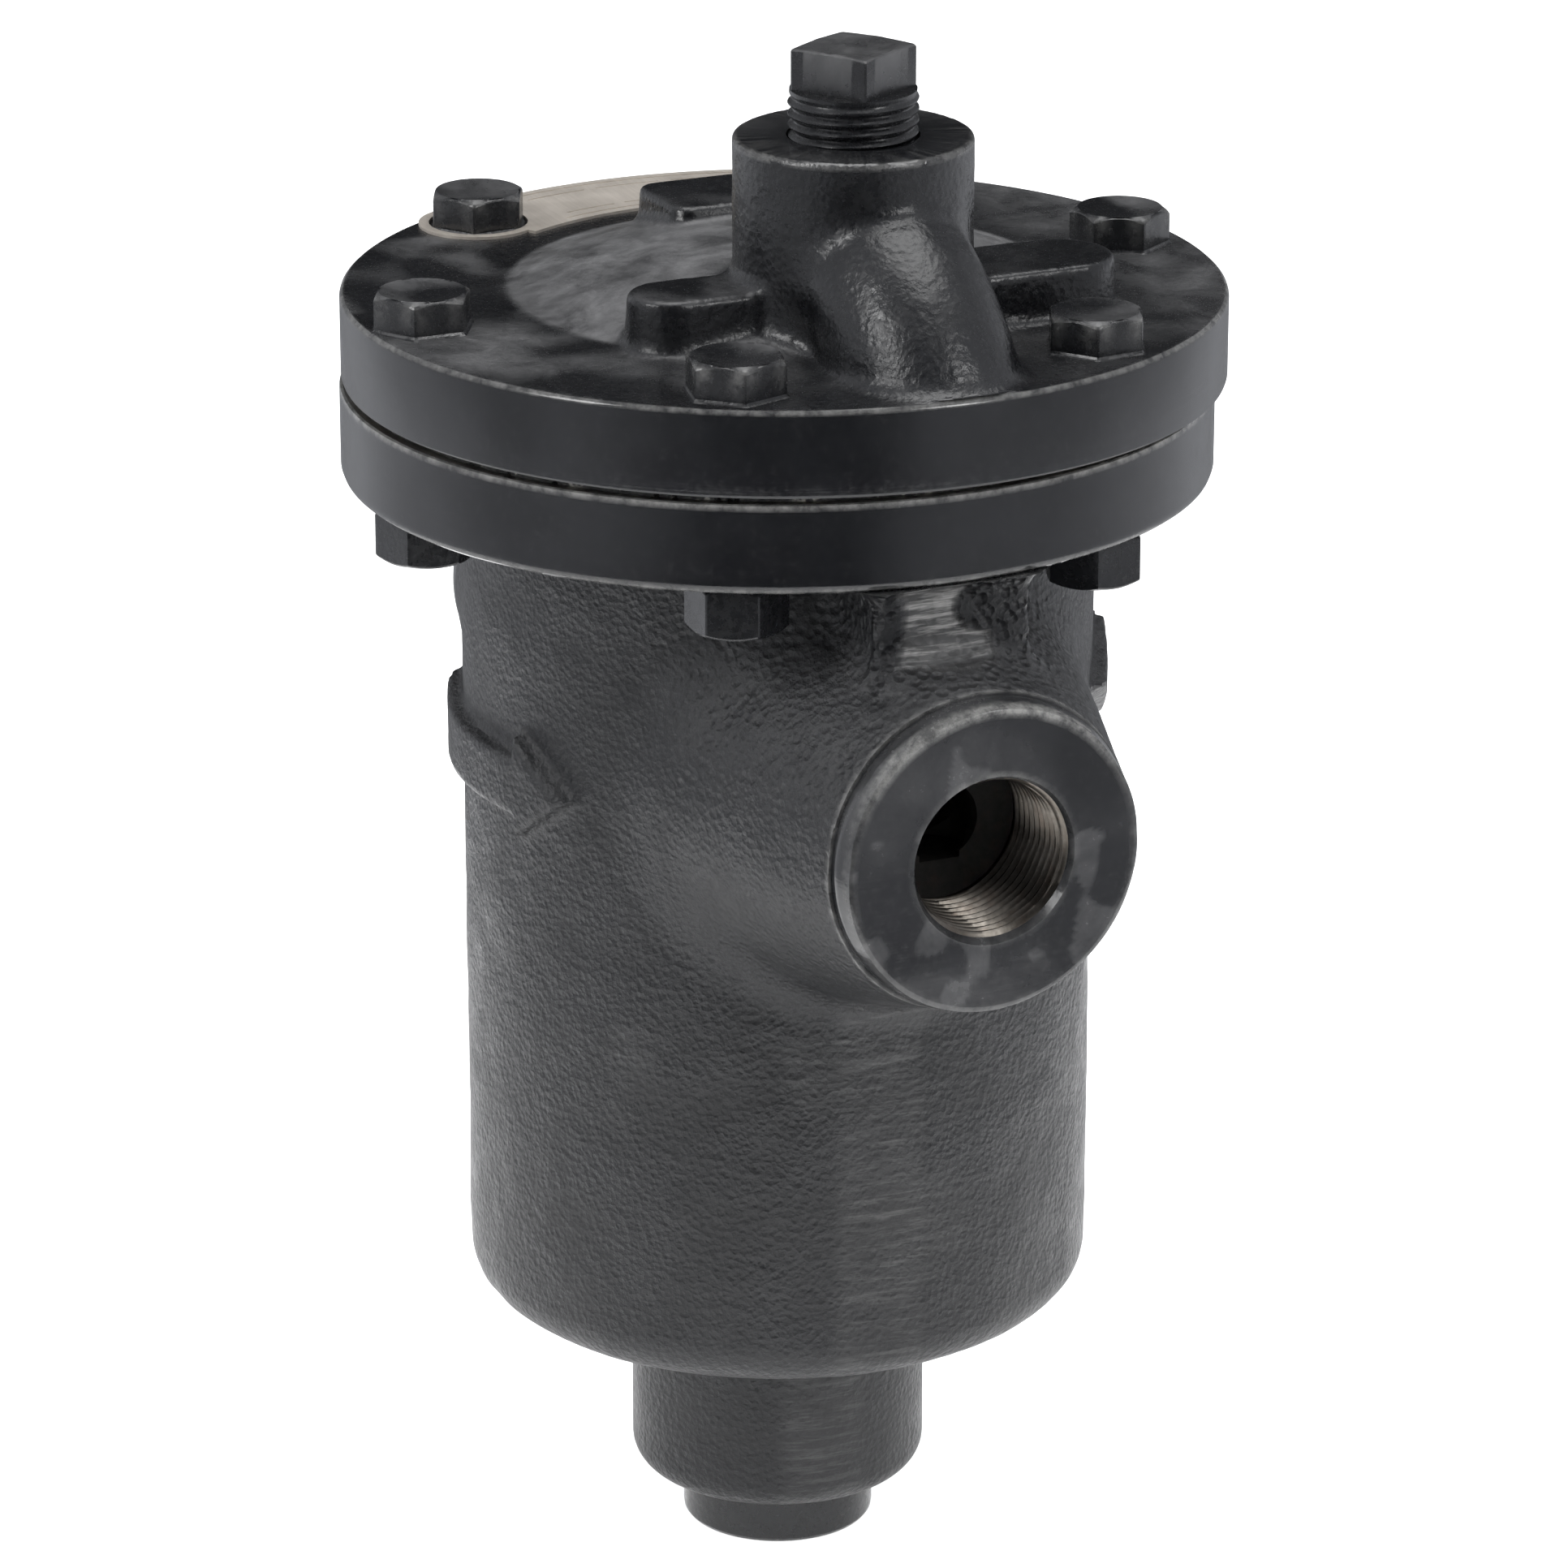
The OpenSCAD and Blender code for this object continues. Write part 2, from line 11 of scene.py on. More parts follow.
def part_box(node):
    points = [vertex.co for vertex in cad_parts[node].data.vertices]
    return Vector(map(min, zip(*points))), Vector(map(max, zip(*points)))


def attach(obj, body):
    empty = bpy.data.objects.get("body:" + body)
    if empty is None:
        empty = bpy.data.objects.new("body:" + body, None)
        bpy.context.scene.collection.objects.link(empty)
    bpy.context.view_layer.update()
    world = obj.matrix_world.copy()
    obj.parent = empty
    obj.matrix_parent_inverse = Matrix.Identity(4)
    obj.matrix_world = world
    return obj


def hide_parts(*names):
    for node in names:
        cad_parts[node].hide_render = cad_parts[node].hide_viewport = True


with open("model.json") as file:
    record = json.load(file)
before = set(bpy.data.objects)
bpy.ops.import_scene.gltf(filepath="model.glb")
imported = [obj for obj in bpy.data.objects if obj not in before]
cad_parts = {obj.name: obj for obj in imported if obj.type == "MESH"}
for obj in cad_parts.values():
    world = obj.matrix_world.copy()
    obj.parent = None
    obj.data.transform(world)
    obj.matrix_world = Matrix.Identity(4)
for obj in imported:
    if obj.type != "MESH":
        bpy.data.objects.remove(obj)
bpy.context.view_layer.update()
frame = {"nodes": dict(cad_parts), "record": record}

MM = 0.001  # shapes are worked out in millimetres and stored in metres


# ---- places taken from the frame


def box_mm(node):
    """A node's lowest and highest corner, in millimetres."""
    low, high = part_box(node)
    return np.array(low) / MM, np.array(high) / MM


body_low, body_high = box_mm("body")
cap_low, cap_high = box_mm("cap")
gasket_low, gasket_high = box_mm("cap_gasket")
bolts_low, bolts_high = box_mm("cap_bolts")
nuts_low, nuts_high = box_mm("cap_nuts")
plug_low, plug_high = box_mm("test_plug")
drain_high = box_mm("drain_plug")[1]
tag_low, tag_high = box_mm("id_tag")
mounts = {m["name"]: m for m in frame["record"]["mounts"]}
outlet = mounts["outlet"]

PORT_Z = outlet["pos_m"][2] / MM
PORT_FACE = body_high[0]
BORE_R = outlet["dims"]["r_mm"]
BORE_L = outlet["dims"]["length_mm"]
FLANGE_R = body_high[1]
FLANGE_TOP = gasket_low[2]
FLANGE_LOW = nuts_high[2]
CAP_LOW = gasket_high[2]
CAP_TOP = tag_low[2]
BOSS_TOP = cap_high[2]
CAP_AT = (cap_low[:2] + cap_high[:2]) / 2
CAP_R = (cap_high[1] - cap_low[1]) / 2
BOLTS_AT = (bolts_low[:2] + bolts_high[:2]) / 2
PLUG_AT = (plug_low[:2] + plug_high[:2]) / 2

# Sizes of the casting that the boxes don't give
WALL_R = 51.5
UNDERSIDE = 43.8
BOTTOM_BOSS_R = 24.6
PORT_R = 25.5
CHAMBER_R = 45.0
CHAMBER_FLOOR = 51.8
BOLT_CIRCLE_R = 61.3
BOLT_ANGLES = [30, 90, 150, 210, 270, 330]
HEAD_TURNS = [36, 3, 10, 34, 30, 47]
NUT_TURNS = [40, 12, 55, 25, 18, 1]
BOLT_AF = 14.3
BOLT_R = 4.75
BOLT_HOLE_R = 5.9
SEAT_X = PLUG_AT[0]
SEAT_Y = PLUG_AT[1]
PLUG_AF = 14.3
PLUG_R = 10.4
PIPE_PITCH = 1.814  # 14 threads to the inch


# ---- distance fields


def smooth_min(a, b, k):
    """Union of two distance fields with a fillet about k wide."""
    h = np.maximum(k - np.abs(a - b), 0) / k
    return np.minimum(a, b) - h * h * k / 4


def smooth_max(a, b, k):
    return -smooth_min(-a, -b, k)


def post(radial, along, r, low, high, edge):
    """Round post or disc with its rims rounded by edge."""
    dr = radial - (r - edge)
    dz = np.abs(along - (low + high) / 2) - ((high - low) / 2 - edge)
    return np.hypot(np.maximum(dr, 0), np.maximum(dz, 0)) + np.minimum(np.maximum(dr, dz), 0) - edge


def block(x, y, z, half, edge):
    """Box about the origin with rounded edges."""
    dx, dy, dz = (np.abs(c) - (h - edge) for c, h in zip((x, y, z), half))
    out = np.sqrt(np.maximum(dx, 0) ** 2 + np.maximum(dy, 0) ** 2 + np.maximum(dz, 0) ** 2)
    return out + np.minimum(np.maximum(np.maximum(dx, dy), dz), 0) - edge


def capsule(x, y, z, a, b, radius):
    """Round-ended rod from a to b."""
    ab = np.subtract(b, a)
    t = ((x - a[0]) * ab[0] + (y - a[1]) * ab[1] + (z - a[2]) * ab[2]) / (ab @ ab)
    t = np.clip(t, 0, 1)
    px, py, pz = (c - (s + t * d) for c, s, d in zip((x, y, z), a, ab))
    return np.sqrt(px * px + py * py + pz * pz) - radius


def polygon_distance(u, v, points):
    """Signed distance to a closed outline, negative inside."""
    best = np.full(np.broadcast(u, v).shape, 1e9)
    inside = np.zeros(best.shape, bool)
    for (ax, ay), (bx, by) in zip(points, points[1:] + points[:1]):
        ex, ey = bx - ax, by - ay
        wx, wy = u - ax, v - ay
        t = np.clip((wx * ex + wy * ey) / (ex * ex + ey * ey), 0, 1)
        best = np.minimum(best, np.hypot(wx - ex * t, wy - ey * t))
        crosses = ((ay > v) != (by > v)) & (u < ex * (v - ay) / (by - ay + 1e-12) + ax)
        inside ^= crosses
    return np.where(inside, -best, best)


_lattice = np.random.default_rng(7).random((32, 32, 32)) * 2 - 1


def noise(points, wavelength, seed=0):
    """Smooth random field over points, about -1 to 1."""
    p = points / wavelength + seed * 7.31
    i = np.floor(p).astype(int)
    f = p - i
    f = f * f * (3 - 2 * f)
    total = 0
    for corner in range(8):
        o = np.array([corner & 1, corner >> 1 & 1, corner >> 2 & 1])
        weight = np.prod(np.where(o, f, 1 - f), axis=-1)
        j = (i + o) % 32
        total = total + weight * _lattice[j[..., 0], j[..., 1], j[..., 2]]
    return total


def ramp(value, low, high):
    """0 below low, 1 above high, smooth between."""
    t = np.clip((value - low) / (high - low), 0, 1)
    return t * t * (3 - 2 * t)


def band(distance, outer, inner):
    """1 within inner of a line or face, 0 beyond outer."""
    return ramp(-np.abs(distance), -outer, -inner)


def surface(shape, low, high, step):
    """Quad mesh of the surface where a distance field is zero (surface nets, then pulled onto it)."""
    low = np.array(low, float)
    counts = np.ceil((np.array(high) - low) / step).astype(int) + 1
    x, y, z = (low[a] + step * np.arange(counts[a]) for a in range(3))
    f = shape(x[:, None, None], y[None, :, None], z[None, None, :])
    for axis in range(3):
        rim = [slice(None)] * 3
        rim[axis] = [0, -1]
        f[tuple(rim)] = np.maximum(f[tuple(rim)], step / 4)  # closes the surface at the box's sides
    inside = f < 0
    corners = [(c & 1, c >> 1 & 1, c >> 2 & 1) for c in range(8)]
    cut = [slice(0, -1), slice(1, None)]
    filled = sum(inside[cut[i], cut[j], cut[k]].astype(np.int8) for i, j, k in corners)
    active = (filled > 0) & (filled < 8)
    index = np.full(active.shape, -1, np.int64)
    index[active] = np.arange(active.sum())
    cells = np.argwhere(active)
    value = np.stack([f[cells[:, 0] + i, cells[:, 1] + j, cells[:, 2] + k] for i, j, k in corners], 1)
    total = np.zeros((len(cells), 3))
    hits = np.zeros((len(cells), 1))
    for a in range(8):
        for bit in (1, 2, 4):
            if a & bit:
                continue
            b = a | bit
            crossing = (value[:, a] < 0) != (value[:, b] < 0)
            t = value[:, a] / np.where(crossing, value[:, a] - value[:, b], 1)
            at = np.array(corners[a]) + t[:, None] * (np.array(corners[b]) - np.array(corners[a]))
            total += np.where(crossing[:, None], at, 0)
            hits += crossing[:, None]
    points = low + step * (cells + total / hits)
    quads = []
    for axis in range(3):
        u, w = (axis + 1) % 3, (axis + 2) % 3
        here, there = [slice(None)] * 3, [slice(None)] * 3
        here[axis], there[axis] = slice(0, -1), slice(1, None)
        change = inside[tuple(here)] != inside[tuple(there)]
        for other in (u, w):
            edge = [slice(None)] * 3
            edge[other] = [0, -1]
            change[tuple(edge)] = False
        p = np.argwhere(change)
        eu, ew = np.eye(3, dtype=int)[u], np.eye(3, dtype=int)[w]
        quad = np.stack([index[tuple((p - o).T)] for o in (eu + ew, ew, 0 * eu, eu)], 1)
        leaves = inside[tuple(p.T)]
        quads.append(np.where(leaves[:, None], quad, quad[:, ::-1]))
    for _ in range(3):
        normal, distance = slope(shape, points)
        points = points - normal * np.clip(distance, -step / 2, step / 2)[:, None]
    return points, np.concatenate(quads)


def slope(shape, points):
    """Outward unit normal of a field at points, and its value there."""
    h = 0.05
    x, y, z = points.T
    g = np.stack([
        shape(x + h, y, z) - shape(x - h, y, z),
        shape(x, y + h, z) - shape(x, y - h, z),
        shape(x, y, z + h) - shape(x, y, z - h),
    ], 1)
    size = np.linalg.norm(g, axis=1, keepdims=True) + 1e-9
    return g / size, shape(x, y, z) / np.clip(size[:, 0] / (2 * h), 0.4, 2)


# ---- mesh helpers


def new_object(name, points, faces, body, slot, replaces=(), smooth=True):
    """Object from points in millimetres and faces, riding on a body."""
    mesh = bpy.data.meshes.new(name)
    points = np.asarray(points, float) * MM
    mesh.from_pydata(points.tolist(), [], faces.tolist() if isinstance(faces, np.ndarray) else faces)
    if smooth:
        mesh.shade_smooth()
    mesh.update()
    obj = bpy.data.objects.new(name, mesh)
    bpy.context.scene.collection.objects.link(obj)
    if body:
        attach(obj, body)
    if replaces:
        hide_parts(*replaces)
    return obj


def attribute(obj, name, values):
    layer = obj.data.attributes.new(name, "FLOAT", "POINT")
    layer.data.foreach_set("value", np.asarray(values, np.float32))


def bevel(obj, width):
    mod = obj.modifiers.new("worn edges", "BEVEL")
    mod.width = width * MM
    mod.segments = 2
    mod.limit_method = "ANGLE"
    mod.angle_limit = math.radians(35)


def turned(profile, sides, around=(0, 0)):
    """Points and faces of a closed turned shape, from (r, z) pairs that start and end on the axis."""
    angles = np.arange(sides) * 2 * np.pi / sides
    points, rings = [], []
    for r, z in profile:
        if r < 1e-6:
            rings.append([len(points)])
            points.append((around[0], around[1], z))
        else:
            rings.append(list(range(len(points), len(points) + sides)))
            points += [(around[0] + r * math.cos(a), around[1] + r * math.sin(a), z) for a in angles]
    return points, bridge(rings, sides)


def bridge(rings, sides):
    """Faces between rings of points, closing on single points."""
    faces = []
    for a, b in zip(rings, rings[1:]):
        for i in range(sides):
            j = (i + 1) % sides
            if len(a) == 1:
                faces.append((a[0], b[j], b[i]))
            elif len(b) == 1:
                faces.append((a[i], a[j], b[0]))
            else:
                faces.append((a[i], a[j], b[j], b[i]))
    return faces


def merge(parts):
    """Several (points, faces) lists as one."""
    points, faces = [], []
    for p, f in parts:
        base = len(points)
        points += [tuple(v) for v in p]
        faces += [tuple(i + base for i in q) for q in f]
    return points, faces


def boolean(obj, cutter, operation):
    """Cut or join with another closed mesh, applied at once."""
    mod = obj.modifiers.new("cut", "BOOLEAN")
    mod.operation = operation
    mod.solver = "MANIFOLD"
    mod.object = cutter
    graph = bpy.context.evaluated_depsgraph_get()
    result = bpy.data.meshes.new_from_object(obj.evaluated_get(graph), depsgraph=graph)
    obj.modifiers.remove(mod)
    old = obj.data
    obj.data = result
    result.name = old.name
    bpy.data.meshes.remove(old)
    bpy.data.objects.remove(cutter, do_unlink=True)


def vertices_mm(obj):
    flat = np.empty(len(obj.data.vertices) * 3)
    obj.data.vertices.foreach_get("co", flat)
    return flat.reshape(-1, 3) / MM


def normals_of(obj):
    flat = np.empty(len(obj.data.vertices) * 3)
    obj.data.vertices.foreach_get("normal", flat)
    return flat.reshape(-1, 3)


THREAD_ROWS = 8  # rows of points to a turn


def thread(radius, depth, low, high, sides, taper=0.0):
    """Rod along Z with a pipe thread: a grid whose radius follows the helix."""
    rows = int((high - low) / PIPE_PITCH * THREAD_ROWS) + 1
    z = np.linspace(low, high, rows)
    turn = np.arange(sides) / sides
    phase = (z[:, None] / PIPE_PITCH - turn[None, :]) % 1.0
    tooth = 1 - np.abs(2 * phase - 1)
    soft = tooth * tooth * (3 - 2 * tooth)
    ends = ramp(np.minimum(z - low, high - z), 0, PIPE_PITCH)[:, None]
    r = radius + taper * (z[:, None] - low) - depth * (1 - soft) * ends - depth * 0.5 * (1 - ends)
    a = turn * 2 * np.pi
    grid = np.stack([r * np.cos(a), r * np.sin(a), np.broadcast_to(z[:, None], r.shape)], -1)
    points = [tuple(p) for p in grid.reshape(-1, 3)] + [(0, 0, low), (0, 0, high)]
    rings = [[len(points) - 2]]
    rings += [list(range(k * sides, (k + 1) * sides)) for k in range(rows)]
    rings += [[len(points) - 1]]
    return points, bridge(rings, sides)


def turned_about(points, matrix):
    return [tuple(matrix @ Vector(p)) for p in points]


def polygon_radius(theta, sides, apothem, sharp):
    """Radius of a regular polygon with softened corners; a flat faces theta = 0."""
    total = 0
    for k in range(sides):
        total = total + np.maximum(np.cos(theta - 2 * np.pi * k / sides), 0) ** sharp
    return apothem * total ** (-1 / sharp)


HEAD_SIDES = 144


def prism(at, low, high, sides, apothem, corner_deg, top=0.5, bottom=0.0, dish=0.0, skirt=0.0, sharp=110):
    """Wrench head or nut: chamfered ends, softened corners and, with skirt, paint gathered round its foot."""
    theta = np.arange(HEAD_SIDES) * 2 * np.pi / HEAD_SIDES
    wall = polygon_radius(theta - math.radians(corner_deg) + np.pi / sides, sides, apothem, sharp)
    circle = apothem * 0.965
    drop = (wall - circle) * top
    rise = (wall - circle) * bottom
    rings = []
    if skirt:
        rings += [(wall + skirt, low), (wall + skirt * 0.4, low + skirt * 0.35), (wall, low + skirt)]
    elif bottom:
        rings += [(circle, low), (wall - 0.1, low + rise), (wall, low + rise + 0.25)]
    else:
        rings += [(wall, low)]
    rings += [
        (wall, high - drop - 0.32),
        (wall - 0.09, high - drop - 0.09),
        (wall - 0.32, high - drop * 0.72),
        (circle, high),
        (circle * 0.93, high - 0.06 - dish * 0.2),
        (circle * 0.5, high - dish),
    ]
    points = [(at[0], at[1], low)]
    index = [[0]]
    for ring in rings:
        r, z = (np.broadcast_to(value, theta.shape) for value in ring)
        index.append(list(range(len(points), len(points) + HEAD_SIDES)))
        points += list(zip(at[0] + r * np.cos(theta), at[1] + r * np.sin(theta), z))
    index.append([len(points)])
    points.append((at[0], at[1], high - dish))
    return points, bridge(index, HEAD_SIDES)


def rod(a, b, r, sides=48):
    """Plain round bar between two points, for cutting passages."""
    a, b = Vector(a), Vector(b)
    points, faces = turned([(0, 0), (r, 0), (r, (b - a).length), (0, (b - a).length)], sides)
    turn = (b - a).to_track_quat("Z", "Y").to_matrix().to_4x4()
    return turned_about(points, Matrix.Translation(a) @ turn), faces


def cut(obj, shapes, operation="DIFFERENCE"):
    """Cut closed shapes, each a (points, faces) pair that touches no other, out of obj."""
    boolean(obj, new_object("cutter", *merge(shapes), None, None, smooth=False), operation)


def roughened(points, shape, amount, scales=((15, 1.0), (5.5, 0.5), (2.2, 0.2))):
    """Points moved along their normals as a sand mould leaves them. amount is millimetres at each point."""
    normal, _ = slope(shape, points)
    lumps = sum(share * noise(points, wave, seed) for seed, (wave, share) in enumerate(scales))
    return points + normal * (lumps * amount)[:, None]


def finish_edges(obj, angle=32):
    """Shade smooth across gentle bends and crisp at true edges."""
    obj.data.shade_smooth()
    obj.data.set_sharp_from_angle(angle=math.radians(angle))


def dress(obj, *materials):
    """Give a mesh these materials and no others."""
    obj.data.materials.clear()
    for material in materials:
        obj.data.materials.append(material)


def paint_faces(obj, materials, choose):
    """Give each face the material whose number choose returns, from the face centres and normals."""
    dress(obj, *materials)
    count = len(obj.data.polygons)
    centre, normal = np.empty(count * 3), np.empty(count * 3)
    obj.data.polygons.foreach_get("center", centre)
    obj.data.polygons.foreach_get("normal", normal)
    number = choose(centre.reshape(-1, 3) / MM, normal.reshape(-1, 3))
    obj.data.polygons.foreach_set("material_index", np.asarray(number, np.int32))


# ---- materials


class Look:
    """A procedural material, built call by call. Sockets and numbers may be mixed freely as inputs."""

    def __init__(self, name, **shader):
        self.material = bpy.data.materials.new(name)
        self.material.use_nodes = True
        self.tree = self.material.node_tree
        self.shader = self.tree.nodes["Principled BSDF"]
        for key, value in shader.items():
            self.shader.inputs[key.replace("_", " ")].default_value = value
        self.place = self.tree.nodes.new("ShaderNodeTexCoord").outputs["Object"]

    def node(self, kind, output, inputs, **props):
        node = self.tree.nodes.new("ShaderNode" + kind)
        for key, value in props.items():
            setattr(node, key, value)
        for key, value in inputs.items():
            if isinstance(value, bpy.types.NodeSocket):
                self.tree.links.new(value, node.inputs[key])
            else:
                node.inputs[key].default_value = value
        return node.outputs[output]

    def noise(self, size_mm, detail=3.0, rough=0.55, stretch=None, twist=0.0):
        """Noise whose features are about size_mm across, squeezed by stretch."""
        where = self.place
        if stretch:
            where = self.node("Mapping", 0, {"Vector": where, "Scale": stretch})
        return self.node("TexNoise", "Fac", {
            "Vector": where, "Scale": 1 / (size_mm * MM), "Detail": detail, "Roughness": rough,
            "Distortion": twist})

    def cells(self, size_mm):
        return self.node("TexVoronoi", "Distance", {"Vector": self.place, "Scale": 1 / (size_mm * MM)})

    def range(self, value, low, high, to_low=0.0, to_high=1.0):
        return self.node("MapRange", 0, {
            "Value": value, "From Min": low, "From Max": high, "To Min": to_low, "To Max": to_high})

    def math(self, operation, a, b):
        return self.node("Math", 0, {0: a, 1: b}, operation=operation)

    def times(self, a, b):
        return self.math("MULTIPLY", a, b)

    def plus(self, a, b):
        return self.math("ADD", a, b)

    def mix(self, factor, a, b):
        """Between two colours."""
        colours = {6: a if isinstance(a, bpy.types.NodeSocket) else (*a, 1),
                   7: b if isinstance(b, bpy.types.NodeSocket) else (*b, 1)}
        return self.node("Mix", 2, {0: factor, **colours}, data_type="RGBA")

    def mask(self, name):
        return self.node("Attribute", "Fac", {}, attribute_name=name)

    def bump(self, height, depth_mm, strength=1.0, under=None):
        inputs = {"Height": height, "Distance": depth_mm * MM, "Strength": strength}
        if under:
            inputs["Normal"] = under
        return self.node("Bump", 0, inputs)

    def wear(self, **sockets):
        """Connect the shader's inputs."""
        for key, value in sockets.items():
            self.tree.links.new(value, self.shader.inputs[key.replace("_", " ")])
        return self.material


PAINT_DARK = (0.0048, 0.0051, 0.0060)
PAINT_LIGHT = (0.0088, 0.0092, 0.0105)
PAINT_SPECK = (0.0165, 0.0168, 0.0180)
# The dust and worn-edge colours below also serve as painted sheen and painted edge highlights, where their
# masks carry them.
DUST_AND_SHEEN = (0.130, 0.130, 0.132)
WORN_AND_HIGHLIGHT = (0.22, 0.218, 0.21)
GROUND = (0.26, 0.257, 0.25)
RUST = (0.10, 0.045, 0.022)


def black_paint(name, grit, gloss, ior=1.5):
    """Charcoal shop paint: thin over the casting's skin, dusty on top, lighter on edges from wear, and
    carrying painted sheen and painted edge highlights where its masks say so.

    grit is how much of the sand skin shows, gloss the roughness of clean paint."""
    look = Look(name, IOR=ior)
    broad = look.noise(16, 4, 0.6)
    speck = look.noise(1.2, 4, 0.65)
    fine = look.noise(0.55, 3, 0.6)
    pits = look.cells(1.1)
    smudge = look.noise(9, 6, 0.62, twist=0.4)
    machined = look.mask("machined")
    dust_and_sheen = look.mask("dust_and_sheen")
    wear_and_highlight = look.mask("wear_and_highlight")
    ground = look.mask("ground")
    pitted = look.mask("pitted")
    cast = look.math("SUBTRACT", 1.0, look.math("MAXIMUM", machined, ground))
    tone = look.mix(look.range(broad, 0.35, 0.65), PAINT_DARK, PAINT_LIGHT)
    tone = look.mix(look.range(speck, 0.56, 0.72, 0, 0.5), tone, PAINT_SPECK)
    # Dust colour laid on by the dust mask; on the cap's top and the test plug's top it is partly a painted
    # sheen.
    grime_and_sheen = look.times(dust_and_sheen, look.range(smudge, 0.34, 0.66, 0.35, 1.0))
    tone = look.mix(grime_and_sheen, tone, DUST_AND_SHEEN)
    scratch = look.range(look.noise(3.2, 4, 0.7, stretch=(0.25, 0.25, 3.0)), 0.48, 0.68)
    # Light edge colour laid on by the wear mask; on the body's flange edge, hub step and underside fillet it
    # is a painted highlight.
    rubbed_and_highlight = look.times(wear_and_highlight, look.range(look.noise(2.6, 5, 0.7), 0.36, 0.62, 0.15, 1.0))
    tone = look.mix(rubbed_and_highlight, tone, WORN_AND_HIGHLIGHT)
    ground_tone = look.times(ground, look.range(scratch, 0, 1, 0.12, 0.8))
    tone = look.mix(ground_tone, tone, GROUND)
    rough = look.range(speck, 0.3, 0.7, gloss - 0.06, gloss + 0.08)
    rough = look.plus(rough, look.times(grime_and_sheen, 0.25))
    rough = look.math("SUBTRACT", rough, look.times(machined, 0.12))
    rough = look.plus(rough, look.range(smudge, 0.3, 0.7, -0.05, 0.07))
    skin = look.plus(look.times(speck, 0.9), look.times(pits, 0.7))
    skin = look.plus(skin, look.times(fine, 0.5))
    coarse = look.times(cast, look.range(broad, 0.35, 0.65, 0.5, 1.1))
    normal = look.bump(look.times(skin, coarse), 0.32 * grit, 0.9)
    holes = look.range(look.cells(1.9), 0.1, 0.55)
    normal = look.bump(look.times(holes, pitted), 0.8, 1.0, normal)
    lathe = look.noise(1.1, 2, 0.5, stretch=(0.02, 0.02, 1.0))
    flat = look.times(look.plus(lathe, look.times(fine, 0.35)), machined)
    normal = look.bump(flat, 0.035, 0.8, normal)
    lines = look.noise(0.9, 3, 0.6, stretch=(0.5, 0.04, 1.0))
    normal = look.bump(look.times(lines, ground), 0.09, 0.8, normal)
    return look.wear(Base_Color=tone, Roughness=rough, Normal=normal)


def bare_metal(name, dark, light, roughness, grain_mm, stretch=None, bump_mm=0.03, rust=0.0, metallic=1.0):
    """Uncoated metal with a directional or even grain, patchy tone and a little stain."""
    look = Look(name, Metallic=metallic)
    patch = look.noise(7, 5, 0.6)
    grain = look.noise(grain_mm, 4, 0.6, stretch=stretch)
    tone = look.mix(look.range(patch, 0.3, 0.7), dark, light)
    tone = look.mix(look.range(grain, 0.3, 0.7, 0, 0.4), tone, [c * 0.6 for c in dark])
    if rust:
        tone = look.mix(look.range(look.noise(4, 6, 0.7), 0.5, 0.72, 0, rust), tone, RUST)
    rough = look.range(look.plus(patch, grain), 0.6, 1.4, roughness - 0.08, roughness + 0.12)
    return look.wear(Base_Color=tone, Roughness=rough, Normal=look.bump(grain, bump_mm, 0.7))


casting_paint = black_paint("cast paint", 1.1, 0.40, ior=1.44)
cap_paint = black_paint("cap paint", 0.4, 0.25)
fastener_paint = black_paint("fastener paint", 0.16, 0.24)
thread_metal = bare_metal(
    "cut thread", (0.10, 0.09, 0.077), (0.24, 0.22, 0.195), 0.34, 1.2, bump_mm=0.05, rust=0.3)
# Near-black iron: painted shade for the bore's far end, the passages and the hollows in body and cap, which
# lie in deep shade. It also colours the bucket weight.
iron_as_painted_shade = bare_metal(
    "iron as painted shade", (0.007, 0.006, 0.005), (0.014, 0.012, 0.010), 0.8, 1.4, bump_mm=0.2, rust=0.12, metallic=0.0)
machined_iron = bare_metal(
    "machined iron", (0.30, 0.29, 0.27), (0.42, 0.41, 0.39), 0.34, 1.0, (0.3, 0.3, 1.0), 0.03, rust=0.12)
tag_steel = bare_metal(
    "tag steel", (0.50, 0.455, 0.40), (0.60, 0.55, 0.49), 0.40, 0.9, (0.05, 1.0, 1.0), 0.02, metallic=0.45)
seat_steel = bare_metal(
    "seat steel", (0.50, 0.49, 0.47), (0.62, 0.61, 0.58), 0.24, 0.8, (0.2, 0.2, 1.0), 0.012)
lever_steel = bare_metal(
    "lever steel", (0.48, 0.47, 0.45), (0.58, 0.57, 0.55), 0.30, 0.7, (0.08, 1.0, 1.0), 0.012)
bucket_steel = bare_metal(
    "bucket steel", (0.46, 0.45, 0.43), (0.56, 0.55, 0.52), 0.32, 1.3, (1.0, 1.0, 0.06), 0.015)


def gasket_sheet():
    look = Look("gasket sheet", Roughness=0.85)
    fibre = look.noise(0.9, 5, 0.7, stretch=(1.0, 1.0, 0.5))
    tone = look.mix(look.range(fibre, 0.35, 0.7), (0.012, 0.012, 0.013), (0.05, 0.05, 0.048))
    tone = look.mix(look.range(look.noise(2.2, 3, 0.6), 0.60, 0.70, 0, 0.8), tone, (0.30, 0.29, 0.27))
    return look.wear(Base_Color=tone, Normal=look.bump(fibre, 0.15, 0.8))


# ---- body casting

